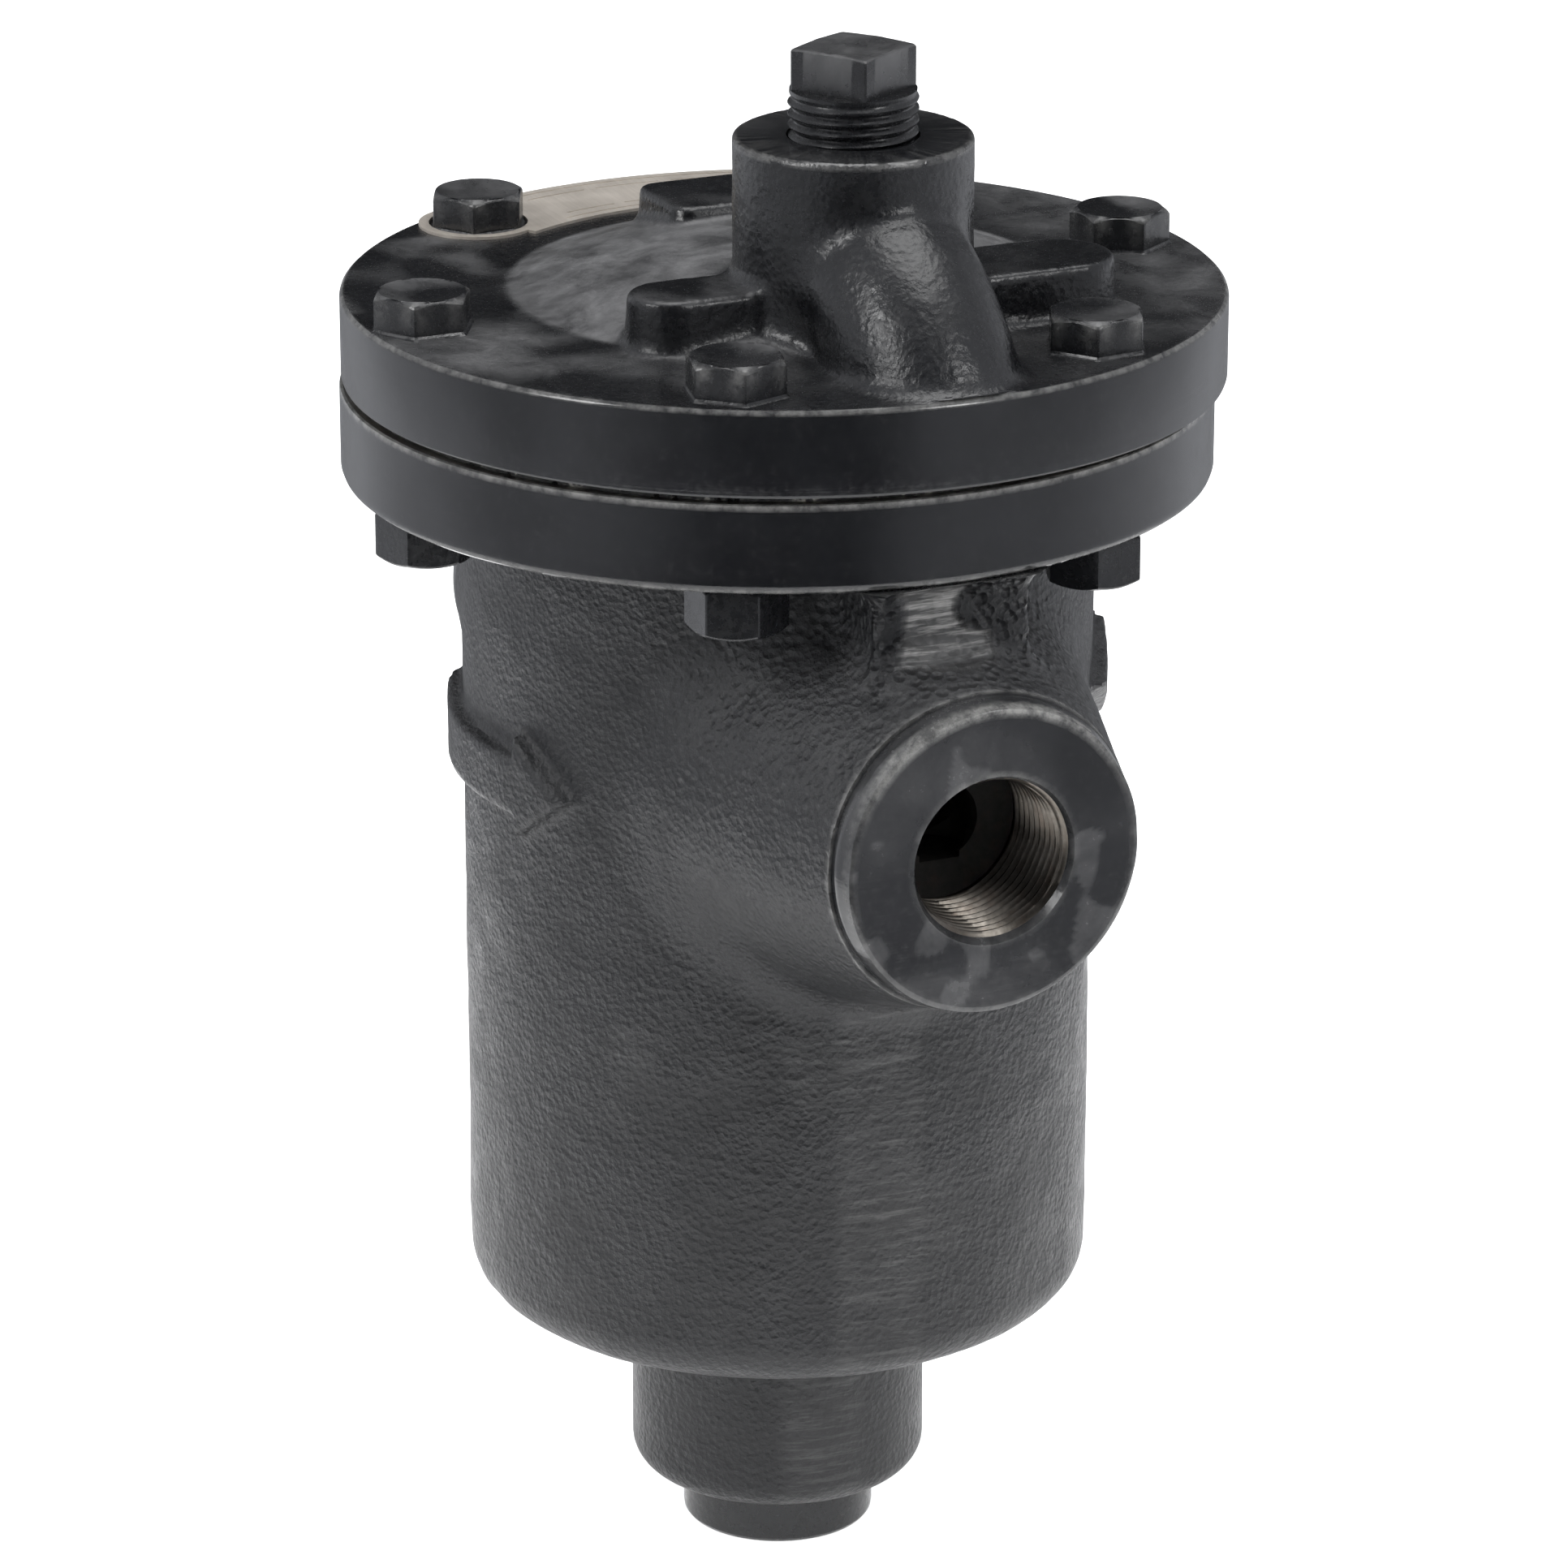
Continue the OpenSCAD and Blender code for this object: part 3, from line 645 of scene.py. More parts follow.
RIDGE_OUT = 67.4  # how far the ridges over the passages stand out from the axis
RIDGE_HALF = 13.2
HUB_R = PORT_R + 0.6  # the cast hub is a little larger than its machined end
HUB_END = PORT_FACE - 4.8
FLARE_X = 45.0
FLARE_R = 36.2
ARROW_RAISE = 2.6
DUCT_Z = CHAMBER_FLOOR + 4
DUCT_R = 10.5
NOZZLE_R = 12.0
NOZZLE_TOP = 72.0
PASSAGE_R = 6.5
PASSAGE_X = 57.0
DRAIN_THREAD_R = 12.2
BODY_STEP = 0.8
ARROW = [(-24, 7.5), (-18, 5), (12.6, 5), (12.6, 9), (24, 0),
         (12.6, -9), (12.6, -5), (-18, -5), (-24, -7.5)]
NEAR_ARROW = (0, 142)  # the arrows' centres, along X and up Z, on the -Y side and on the +Y side
FAR_ARROW = (4, 150)
STRIP_TOP = PORT_Z - 44
STRIP_DIRECTION = math.radians(-5)  # where the mould's parting line was ground off below the outlet


def ridge(x, y, z, low, high):
    half = (RIDGE_OUT - 30) / 2
    return block(x - RIDGE_OUT + half, y, z - (low + high) / 2, (half, RIDGE_HALF, (high - low) / 2), 1.5)


def body_outside(x, y, z):
    r = np.hypot(x, y)
    ax = np.abs(x)
    wall = post(r, z, WALL_R, UNDERSIDE, FLANGE_TOP - 1, 8)
    boss = post(r, z, BOTTOM_BOSS_R, body_low[2], UNDERSIDE + 12, 5)
    solid = smooth_min(wall, boss, 2.0)
    rho = np.hypot(y, z - PORT_Z)
    slope_in = (FLARE_R - HUB_R) / (HUB_END - FLARE_X)
    flare = (rho - (FLARE_R - slope_in * (ax - FLARE_X))) / math.hypot(1, slope_in)
    flare = np.maximum(np.maximum(flare, rho - FLARE_R - 2), np.maximum(ax - PORT_FACE - 3, 30 - ax))
    solid = smooth_min(solid, flare, 6)
    upper = ridge(x, y, z, PORT_Z, FLANGE_LOW + 4)
    lower = ridge(-x, y, z, UNDERSIDE + 4, PORT_Z)
    solid = smooth_min(solid, np.minimum(upper, lower), 4)
    near = polygon_distance(x - NEAR_ARROW[0], z - NEAR_ARROW[1], ARROW)
    far = polygon_distance(x - FAR_ARROW[0], z - FAR_ARROW[1], ARROW)
    arrow = smooth_max(np.where(y < 0, near, far), r - WALL_R - ARROW_RAISE, 1.4)
    solid = smooth_min(solid, np.maximum(arrow, WALL_R - 6 - r), 1.6)
    flange = post(r, z, FLANGE_R + 1.5, FLANGE_LOW, FLANGE_TOP + 3, 0.4)
    solid = smooth_min(solid, flange, 5)
    strip = x * math.cos(STRIP_DIRECTION) + y * math.sin(STRIP_DIRECTION) - WALL_R + 0.4
    return smooth_max(solid, strip - np.maximum(z - STRIP_TOP, 0) * 3, 0.5)


def body_shape(x, y, z):
    r = np.hypot(x, y)
    chamber = post(r, z, CHAMBER_R, CHAMBER_FLOOR, FLANGE_TOP + 30, 2.5)
    solid = smooth_max(body_outside(x, y, z), -chamber, 1.0)
    duct = np.maximum(np.hypot(y, z - DUCT_Z) - DUCT_R, np.maximum(x, -x - CHAMBER_R - 3))
    nozzle = post(r, z, NOZZLE_R, UNDERSIDE + 2, NOZZLE_TOP, 0.8)
    return smooth_min(solid, np.minimum(duct, nozzle), 3)


def port_end_cutter(side):
    """Trims a hub to its machined end: a step round the side, a flat face and a rounded rim between."""
    far = PORT_FACE + 8
    rings = [(r, PORT_FACE) for r in np.arange(BORE_R - 1, PORT_R - 1.5, 0.9)]
    profile = [(0, PORT_FACE)] + rings + [
        (PORT_R - 1.5, PORT_FACE), (PORT_R - 1.0, PORT_FACE - 0.15), (PORT_R - 0.45, PORT_FACE - 0.5),
        (PORT_R - 0.1, PORT_FACE - 1.1), (PORT_R, PORT_FACE - 1.7), (PORT_R, PORT_FACE - 2.6),
        (PORT_R, HUB_END + 1.2), (PORT_R, HUB_END), (PORT_R + 16, HUB_END), (PORT_R + 16, far), (0, far)]
    return along_x(turned(profile, 224), side)


def along_x(shape, side):
    """Stands a shape made along Z on the port axis, pointing along +X or -X."""
    points, faces = shape
    turn = Matrix.Rotation(side * math.pi / 2, 4, "Y")
    return turned_about(points, Matrix.Translation((0, 0, PORT_Z)) @ turn), faces


def port_thread_cutter(side):
    return along_x(thread(BORE_R + 1.05, 1.05, PORT_FACE - BORE_L, PORT_FACE + 2, 128), side)


def flange_cutter():
    """Trims the body flange: rim, rounded edges and the machined joint face."""
    profile = [(0, FLANGE_TOP), (FLANGE_R - 0.6, FLANGE_TOP), (FLANGE_R - 0.15, FLANGE_TOP - 0.15),
               (FLANGE_R, FLANGE_TOP - 0.6), (FLANGE_R, FLANGE_TOP - 1.2), (FLANGE_R, FLANGE_TOP - 2.4),
               (FLANGE_R, (FLANGE_TOP + FLANGE_LOW) / 2), (FLANGE_R, FLANGE_LOW + 3),
               (FLANGE_R, FLANGE_LOW + 1.8), (FLANGE_R, FLANGE_LOW + 1.2), (FLANGE_R - 0.3, FLANGE_LOW + 0.35),
               (FLANGE_R - 1.1, FLANGE_LOW - 0.25), (FLANGE_R + 12, FLANGE_LOW - 0.25),
               (FLANGE_R + 12, FLANGE_TOP + 12), (0, FLANGE_TOP + 12)]
    return turned(profile, 288)


BOLT_PLACES = [(BOLTS_AT[0] + BOLT_CIRCLE_R * math.cos(math.radians(a)),
                BOLTS_AT[1] + BOLT_CIRCLE_R * math.sin(math.radians(a))) for a in BOLT_ANGLES]


def bolt_holes(low, high, r=BOLT_HOLE_R):
    return [rod((x, y, low), (x, y, high), r) for x, y in BOLT_PLACES]


def on_port_end(ax, rho):
    return (ax > HUB_END - 0.4) & (rho < PORT_R + 0.6)


def on_rim(r, z):
    return (r > FLANGE_R - 0.9) & (z > FLANGE_LOW - 0.5)


def make_body():
    low = (body_low[0] - 6, body_low[1] - 4, body_low[2] - 2)
    high = (body_high[0] + 6, body_high[1] + 4, body_high[2] + 6)
    points, faces = surface(body_shape, low, high, BODY_STEP)
    x, y, z = points.T
    r = np.hypot(x, y)
    skin = 0.2 * ramp(z, body_low[2] + 2, body_low[2] + 8) * (r > CHAMBER_R + 2) * ramp(FLANGE_TOP - z, 0, 6)
    pitted = (x > RIDGE_OUT - 3) * ramp(z, PORT_Z + 24, PORT_Z + 27) * ramp(y, 1, 4)
    points = roughened(points, body_shape, skin)
    points = roughened(points, body_shape, 0.25 * pitted, ((3.2, 1.0), (1.9, 0.8)))
    body = new_object("body_casting", points, faces, "housing", "painted_casting", ["body"])
    cut(body, [flange_cutter()])
    cut(body, [port_end_cutter(1), port_end_cutter(-1)])
    cut(body, [port_thread_cutter(1), port_thread_cutter(-1)])
    mouth = [(0, PORT_FACE - 3), (BORE_R + 0.2, PORT_FACE - 2.2), (BORE_R + 1.5, PORT_FACE + 0.1),
             (BORE_R + 1.6, PORT_FACE + 3), (0, PORT_FACE + 3)]
    cut(body, [along_x(turned(mouth, 128), 1), along_x(turned(mouth, 128), -1)])
    riser_foot = PORT_Z - PASSAGE_R
    cut(body, [rod((PASSAGE_X - PASSAGE_R, 0, PORT_Z), (PORT_FACE - BORE_L + 1, 0, PORT_Z), PASSAGE_R),
               rod((-PASSAGE_X + PASSAGE_R, 0, PORT_Z), (-PORT_FACE + BORE_L - 1, 0, PORT_Z), PASSAGE_R)])
    cut(body, [rod((PASSAGE_X, 0, riser_foot), (PASSAGE_X, 0, FLANGE_TOP + 1), PASSAGE_R),
               rod((-PASSAGE_X, 0, DUCT_Z), (-PASSAGE_X, 0, PORT_Z + 3), PASSAGE_R)])
    cut(body, [rod((-PASSAGE_X - 3, 0, DUCT_Z), (1, 0, DUCT_Z), PASSAGE_R)])
    cut(body, [rod((0, 0, body_low[2] + 10), (0, 0, 80), PASSAGE_R)])
    cut(body, [rod((0, 0, 62), (0, 0, 81), 8), rod((0, 0, body_low[2] - 1), (0, 0, 35), DRAIN_THREAD_R)])
    cut(body, bolt_holes(FLANGE_LOW - 4, FLANGE_TOP + 1))
    finish_edges(body)
    p, n = vertices_mm(body), normals_of(body)
    x, y, z = p.T
    r = np.hypot(x, y)
    rho = np.hypot(y, z - PORT_Z)
    ax = np.abs(x)
    port_end = on_port_end(ax, rho)
    rim = on_rim(r, z)
    foot = (z < body_low[2] + 0.6) | (z > FLANGE_TOP - 0.2)
    attribute(body, "machined", port_end | rim | foot)
    edge_port = ramp(rho, PORT_R - 2.0, PORT_R - 1.3) * ramp(ax, PORT_FACE - 2.2, PORT_FACE - 1.4)
    edge_bore = band(rho - BORE_R - 1.3, 0.9, 0.2) * (ax > PORT_FACE - 0.9) * 0.8
    edge_port = np.maximum(edge_port, edge_bore)
    high_side = 0.15 + 0.85 * ramp(z - PORT_Z, 6, 24)
    # edge_rim is partly wear and partly a painted highlight, a light line along the flange's rounded top edge.
    # join and step_edge are painted highlights: light lines along the fillet where the underside meets the
    # bottom boss, and along the hub's step edge.
    edge_rim = np.maximum(ramp(z, FLANGE_TOP - 0.9, FLANGE_TOP - 0.4),
                          ramp(-z, -FLANGE_LOW - 1.0, -FLANGE_LOW - 0.5) * 0.5)
    join = band(z - UNDERSIDE, 1.2, 0.3) * band(r - BOTTOM_BOSS_R - 1, 1.6, 0.4) * 0.6
    step_edge = band(rho - HUB_R, 0.5, 0.1) * band(ax - HUB_END, 0.7, 0.2) * 0.5
    attribute(body, "wear_and_highlight", np.maximum.reduce([
        edge_port * high_side, edge_rim * rim * 0.75, join, step_edge]))
    attribute(body, "dust_and_sheen", np.clip(n[:, 2], 0, 1) * 0.35 * ramp(z, UNDERSIDE, UNDERSIDE + 20)
              + 0.28 * port_end * ramp(noise(p, 4.5, 8) - 0.008 * (z - PORT_Z), 0.40, 0.52)
              + 0.16 * port_end * ramp(noise(p, 13, 5), -0.3, 0.5))
    across = -x * math.sin(STRIP_DIRECTION) + y * math.cos(STRIP_DIRECTION)
    strip = (x > 0) * band(across, 9, 5) * ramp(-z, 22 - PORT_Z, 30 - PORT_Z) * 0.17
    patch_edge = noise(p, 6, 9)
    patch = (x > RIDGE_OUT - 1.2) * ramp(z, PORT_Z + 27.5, PORT_Z + 29) * (z < FLANGE_LOW - 0.6)
    patch = patch * ramp(patch_edge * 0.6 + (7 - np.abs(y + 3)) * 0.12, 0.0, 0.25)
    dents = (r > WALL_R - 2) * ramp(noise(p * (1, 1, 0.5), 17, 3), 0.38, 0.62) * (z < PORT_Z - 40) * 0.1
    attribute(body, "ground", np.clip(strip + patch + dents, 0, 1) * (1 - port_end))
    front = (x > RIDGE_OUT - 1.8) * ramp(z, PORT_Z + 24, PORT_Z + 27) * (z < FLANGE_LOW - 0.6)
    shoulder = 0.3 * ramp(-rho, -62, -48) * ramp(ax, 36, 44) * ramp(z, PORT_Z - 10, PORT_Z + 16)
    shoulder = shoulder * (z < FLANGE_LOW - 1)
    attribute(body, "pitted", np.maximum(front * np.clip(1 - patch, 0, 1), shoulder) * (1 - port_end))

    def choose(c, n):
        rho = np.hypot(c[:, 1], c[:, 2] - PORT_Z)
        r = np.hypot(c[:, 0], c[:, 1])
        ax = np.abs(c[:, 0])
        bore = (rho < BORE_R + 1.2) & (ax > PORT_FACE - BORE_L - 0.2) & (ax < PORT_FACE - 0.15)
        bore_end = bore & (ax < PORT_FACE - BORE_L + 0.4) & (np.abs(n[:, 0]) > 0.9)
        threads = bore & (ax < PORT_FACE - 1.2) & ~bore_end
        joint = c[:, 2] > FLANGE_TOP - 0.05
        inner = (r < CHAMBER_R + 0.4) & (c[:, 2] > CHAMBER_FLOOR - 0.4)
        side = PASSAGE_R + 0.05
        tunnel = (np.hypot(ax - PASSAGE_X, c[:, 1]) < side) & (np.sign(c[:, 0]) * (c[:, 2] - PORT_Z) > -side)
        tunnel |= (rho < side) & (ax < PORT_FACE - 1)
        turned_face = on_rim(r, c[:, 2]) | on_port_end(ax, rho)
        # Number 2 gives the chamber, the passages and the bore's far end near-black iron: painted shade for
        # these deep hollows.
        return np.select([threads, joint, inner | tunnel | bore_end, turned_face], [1, 3, 2, 4], 0)

    paint_faces(body, [casting_paint, thread_metal, iron_as_painted_shade, machined_iron, cap_paint], choose)


make_body()


# ---- cap casting

CAP_STEP = 0.6
CAP_BOSS_R = 19.0
DOME_R = 45.0
DOME_H = 7.5
PAD_H = 8.8
SEAT_LOCAL = SEAT_X - CAP_AT[0]  # the seat's place along X in the cap's own axes
SCREW_X = 24.5
SCREW_Y = 19.0
NECK_R = 14.4
NECK_TOP = CAP_TOP + 12.8
NECK_BEND_R = 38.0  # the neck bends down from the boss to the outlet's riser


def cap_outside(x, y, z):
    """The cap in its own axes, with its own centre at x = y = 0."""
    r = np.hypot(x, y)
    base = post(r, z, CAP_R + 2, CAP_LOW - 3, CAP_TOP, 0.3)
    ball = (DOME_R ** 2 + DOME_H ** 2) / (2 * DOME_H)
    dome = np.sqrt(x * x + y * y + (z - CAP_TOP - DOME_H + ball) ** 2) - ball
    solid = smooth_min(base, np.maximum(dome, CAP_LOW - z), 0.9)
    bx = x - SEAT_LOCAL
    pad_h = np.maximum(z - CAP_TOP - PAD_H, CAP_TOP - 4 - z)
    taper = 0.06 * (CAP_TOP + PAD_H - z)
    near = np.hypot(bx + 1, -y - np.clip(-y, 12, 30.5)) - 7
    far = np.hypot(bx - 3, y - np.clip(y, 12, 34.5)) - 8.8
    side = smooth_max(np.minimum(near, far) - taper, pad_h, 1.3)
    rear = block(x + 27.5, y, 0 * z, (8.5, 10, 40), 2.4) - 0.6 - taper
    rear = smooth_max(rear, pad_h, 1.3)
    solid = smooth_min(solid, np.minimum(side, rear), 2.6)
    boss = post(np.hypot(bx, y), z, CAP_BOSS_R, CAP_LOW, BOSS_TOP, 0.8)
    neck = np.hypot(np.hypot(bx + 2, z - NECK_TOP + NECK_BEND_R) - NECK_BEND_R, y) - NECK_R
    neck = np.maximum(neck, -bx - 8)
    return smooth_min(solid, smooth_min(neck, boss, 2.4), 2.8)


def cap_shape(x, y, z):
    x, y = x - CAP_AT[0], y - CAP_AT[1]
    bx = x - SEAT_LOCAL
    b = np.hypot(bx, y)
    seat = np.maximum(b - 10, z - CAP_LOW - 11)
    discharge = post(b, z, 12, CAP_TOP - 4, CAP_TOP + 12, 1)
    bore = capsule(x, y, z, (SEAT_LOCAL, 0, CAP_TOP + 5), (PASSAGE_X, 0, CAP_TOP - 10), 6)
    riser = np.maximum(np.hypot(x - PASSAGE_X, y) - PASSAGE_R, z - CAP_LOW - 5)
    recess = (np.hypot(x + 14, y) - 26 + 0.5 * (z - CAP_LOW)) * 0.9
    recess = np.maximum(recess, z - CAP_LOW - 11)
    hollow = np.minimum.reduce(np.broadcast_arrays(seat, discharge, bore, riser, recess))
    return smooth_max(cap_outside(x, y, z), -hollow, 0.8)


def cap_cutter():
    """Trims the cap to its turned rim, and the neck's foot to a ledge just inside it."""
    profile = [(0, CAP_LOW), (CAP_R - 0.6, CAP_LOW), (CAP_R - 0.15, CAP_LOW + 0.15), (CAP_R, CAP_LOW + 0.6),
               (CAP_R, CAP_TOP - 0.9), (CAP_R - 0.14, CAP_TOP - 0.45), (CAP_R - 0.5, CAP_TOP - 0.12),
               (CAP_R - 0.95, CAP_TOP + 0.3), (CAP_R - 0.3, CAP_TOP + 0.42), (CAP_R - 0.3, CAP_TOP + 30),
               (CAP_R + 9, CAP_TOP + 30), (CAP_R + 9, CAP_LOW - 9), (0, CAP_LOW - 9)]
    return turned(profile[::-1], 288, CAP_AT)


def make_cap():
    low = (cap_low[0] - 4, cap_low[1] - 4, cap_low[2] - 4)
    high = (cap_high[0] + 4, cap_high[1] + 4, cap_high[2] + 2)
    points, faces = surface(cap_shape, low, high, CAP_STEP)
    x, y, z = points.T
    boss = np.hypot(x - SEAT_X, y - SEAT_Y)
    skin = 0.08 * (z > CAP_TOP - 2) * ramp(BOSS_TOP - z, 0.8, 3) * (0.35 + 0.65 * ramp(boss, 46, 30))
    points = roughened(points, cap_shape, skin, ((9, 1.0), (3.5, 0.6), (1.6, 0.5)))
    cap = new_object("cap_casting", points, faces, "housing", "painted_casting", ["cap"])
    cut(cap, [cap_cutter()])
    rim = [(0, BOSS_TOP - 0.02), (CAP_BOSS_R - 0.75, BOSS_TOP - 0.02), (CAP_BOSS_R - 0.25, BOSS_TOP - 0.12),
           (CAP_BOSS_R - 0.02, BOSS_TOP - 0.55), (CAP_BOSS_R + 2.5, BOSS_TOP - 0.56),
           (CAP_BOSS_R + 2.5, BOSS_TOP + 4), (0, BOSS_TOP + 4)]
    cut(cap, [turned(rim, 192, (SEAT_X, SEAT_Y))])
    holes = bolt_holes(CAP_LOW - 2, CAP_TOP + 3)
    holes += [rod((SEAT_X, SEAT_Y, CAP_TOP + 3), (SEAT_X, SEAT_Y, BOSS_TOP + 2), PLUG_R + 0.12, 96)]
    for screw_y in (SEAT_Y - SCREW_Y, SEAT_Y + SCREW_Y):
        holes += [rod((SCREW_X, screw_y, CAP_LOW - 1), (SCREW_X, screw_y, CAP_LOW + 8), 2.1)]
    cut(cap, holes)
    finish_edges(cap)
    p, n = vertices_mm(cap), normals_of(cap)
    x, y, z = p.T
    r = np.hypot(x - CAP_AT[0], y - CAP_AT[1])
    boss = np.hypot(x - SEAT_X, y - SEAT_Y)
    rim_band = (r > CAP_R - 1.0) & (z < CAP_TOP + 0.5)
    boss_face = (z > BOSS_TOP - 0.7) & (boss < CAP_BOSS_R + 0.5)
    attribute(cap, "machined", rim_band | boss_face)
    edge = band(z - CAP_TOP + 0.2, 0.5, 0.15) * ramp(r, CAP_R - 0.8, CAP_R - 0.4)
    boss_edge = band(boss - CAP_BOSS_R + 0.3, 0.7, 0.2) * (z > BOSS_TOP - 0.8)
    attribute(cap, "wear_and_highlight", np.maximum(edge * 0.6, boss_edge * 0.35))
    flat_top = ramp(n[:, 2], 0.55, 0.95) * (z > CAP_TOP - 1)
    on_dome = ramp(DOME_R - r, -0.5, 1.5) * (z < CAP_TOP + DOME_H + 1)
    on_dome = on_dome * ramp(boss, CAP_BOSS_R + 1, CAP_BOSS_R + 6)
    dust_cloud_and_sheen = ramp(noise(p, 19, 4) + 0.4 * noise(p, 7, 6), 0.0, 0.5)
    on_pad = (z > CAP_TOP + PAD_H - 1) & (z < CAP_TOP + PAD_H + 1)
    # Dust patches, denser towards -y and low x, plus a painted sheen: the top made evenly lighter towards +y.
    dust_cloud_and_sheen = 0.65 * dust_cloud_and_sheen * (0.3 + 0.7 * ramp(-y, -30, 30) * ramp(60 - x, 0, 40)) + 0.5 * ramp(y, 38, 62)
    attribute(cap, "dust_and_sheen", flat_top * np.clip(1.1 * on_dome + dust_cloud_and_sheen * (1 - on_dome), 0, 1)
              * np.where(z > BOSS_TOP - 2, 0.35, 1) * np.where(on_pad, 0.6, 1))
    neck_foot = (z < CAP_TOP + 12) & (r > CAP_R - 0.8) & (z > CAP_TOP + 0.5)
    attribute(cap, "ground", neck_foot * 0.6)

    def choose(c, n):
        under = c[:, 2] < CAP_LOW + 0.04
        b = np.hypot(c[:, 0] - SEAT_X, c[:, 1] - SEAT_Y)
        hole = (b < PLUG_R + 0.3) & (c[:, 2] < BOSS_TOP - 0.3)
        r = np.hypot(c[:, 0] - CAP_AT[0], c[:, 1] - CAP_AT[1])
        inner = (c[:, 2] < CAP_TOP + 2) & (r < CAP_R - 2) & (n[:, 2] < -0.2)
        # Number 1 gives the plug hole and the hollow under the cap near-black iron: painted shade.
        return np.select([under, hole | inner], [2, 1], 0)

    paint_faces(cap, [cap_paint, iron_as_painted_shade, machined_iron], choose)


make_cap()


# ---- fasteners and plugs


def painted_piece(name, shapes, replaced, wear_and_highlight=None, dust_and_sheen=None):
    """A painted fastener made of closed shapes joined into one mesh per group."""
    obj = new_object(name, *merge(shapes), "housing", "painted_fastener", replaced)
    finish_edges(obj, 28)
    p, n = vertices_mm(obj), normals_of(obj)
    attribute(obj, "wear_and_highlight", wear_and_highlight(p) if wear_and_highlight else np.zeros(len(p)))
    attribute(obj, "dust_and_sheen", dust_and_sheen(p, n) if dust_and_sheen else np.zeros(len(p)))
    attribute(obj, "machined", np.zeros(len(p)))
    attribute(obj, "ground", np.zeros(len(p)))
    dress(obj, fastener_paint)
    return obj


def bolt(place, turn):
    """Hex head, and the shank that goes up into it."""
    head = prism(place, CAP_TOP, bolts_high[2], 6, BOLT_AF / 2, turn, 0.62, dish=0.35, skirt=0.55)
    shank = [(0, bolts_low[2]), (BOLT_R - 0.9, bolts_low[2]), (BOLT_R - 0.1, bolts_low[2] + 0.8),
             (BOLT_R - 0.1, CAP_TOP + 1), (0, CAP_TOP + 1)]
    return head, turned(shank, 48, place)


heads, shanks = zip(*[bolt(place, turn) for place, turn in zip(BOLT_PLACES, HEAD_TURNS)])


def head_wear(p):
    near = np.min([np.hypot(p[:, 0] - x, p[:, 1] - y) for x, y in BOLT_PLACES], 0)
    return ramp(near, 7.0, 7.9) * ramp(p[:, 2], bolts_high[2] - 1.4, bolts_high[2] - 0.6) * 0.45


bolts = painted_piece(
    "cap_bolts_painted", heads, ["cap_bolts"], wear_and_highlight=head_wear,
    dust_and_sheen=lambda p, n: 0.6 * (n[:, 2] > 0.7) * ramp(noise(p, 9, 2), -0.4, 0.4))
cut(bolts, shanks, "UNION")
finish_edges(bolts, 20)

nut_shapes = [prism(place, nuts_low[2], nuts_high[2], 6, BOLT_AF / 2, turn, 0.5, 0.5) for place, turn
              in zip(BOLT_PLACES, NUT_TURNS)]
nuts = painted_piece("cap_nuts_painted", nut_shapes, ["cap_nuts"])
cut(nuts, bolt_holes(nuts_low[2] - 1, nuts_high[2] + 1, BOLT_R))
finish_edges(nuts, 20)

PLUG_THREAD_TOP = plug_high[2] - 6.8
PLUG_TURN = 76.0


def make_test_plug():
    """Square-headed pipe plug whose last turns of thread stand clogged with paint above the boss."""
    low = plug_low[2]
    taper = 0.02
    foot_r = PLUG_R - taper * (PLUG_THREAD_TOP - low)
    points, faces = thread(foot_r, 0.75, low, PLUG_THREAD_TOP, 120, taper)
    points = [(x + PLUG_AT[0], y + PLUG_AT[1], z) for x, y, z in points]
    plug = painted_piece("test_plug_painted", [(points, faces)], ["test_plug"])
    head = prism(PLUG_AT, PLUG_THREAD_TOP - 0.6, plug_high[2], 4, PLUG_AF / 2, PLUG_TURN, 0.12, dish=0.3,
                 sharp=70)
    cut(plug, [head], "UNION")
    finish_edges(plug, 20)
    # The head's top face gets the dust colour at half strength: partly dust, partly a painted highlight on the
    # top.
    top = vertices_mm(plug)[:, 2] > plug_high[2] - 0.5
    plug.data.attributes["dust_and_sheen"].data.foreach_set("value", (top * 0.5).astype(np.float32))


make_test_plug()


SOCKET_AF = 12.7


def make_drain_plug():
    """Round-headed plug, turned smooth, with a hex socket underneath."""
    top = drain_high[2]
    head_r = drain_high[0]
    seat = body_low[2]
    profile = [(0, 0), (head_r - 1.4, 0), (head_r - 0.5, 0.25), (head_r - 0.1, 0.8), (head_r, 1.6),
               (head_r, seat - 0.5), (head_r - 0.35, seat - 0.05), (DRAIN_THREAD_R - 0.15, seat - 0.05),
               (DRAIN_THREAD_R - 0.15, top - 1), (DRAIN_THREAD_R - 1.2, top), (0, top)]
    plug = painted_piece("drain_plug_painted", [turned(profile, 160)], ["drain_plug"])
    cut(plug, [prism((0, 0), -1, 7, 6, SOCKET_AF / 2, 0, 0, sharp=90)])
    finish_edges(plug, 28)


make_drain_plug()


# ---- tag and gasket


TAG_IN = 50.5
TAG_OUT = 69.8
TAG_ENDS = (150, 210)  # degrees round the cap, at the middles of two bolts
TAG_GROOVE = 0.14
EYELET_R = 9.9


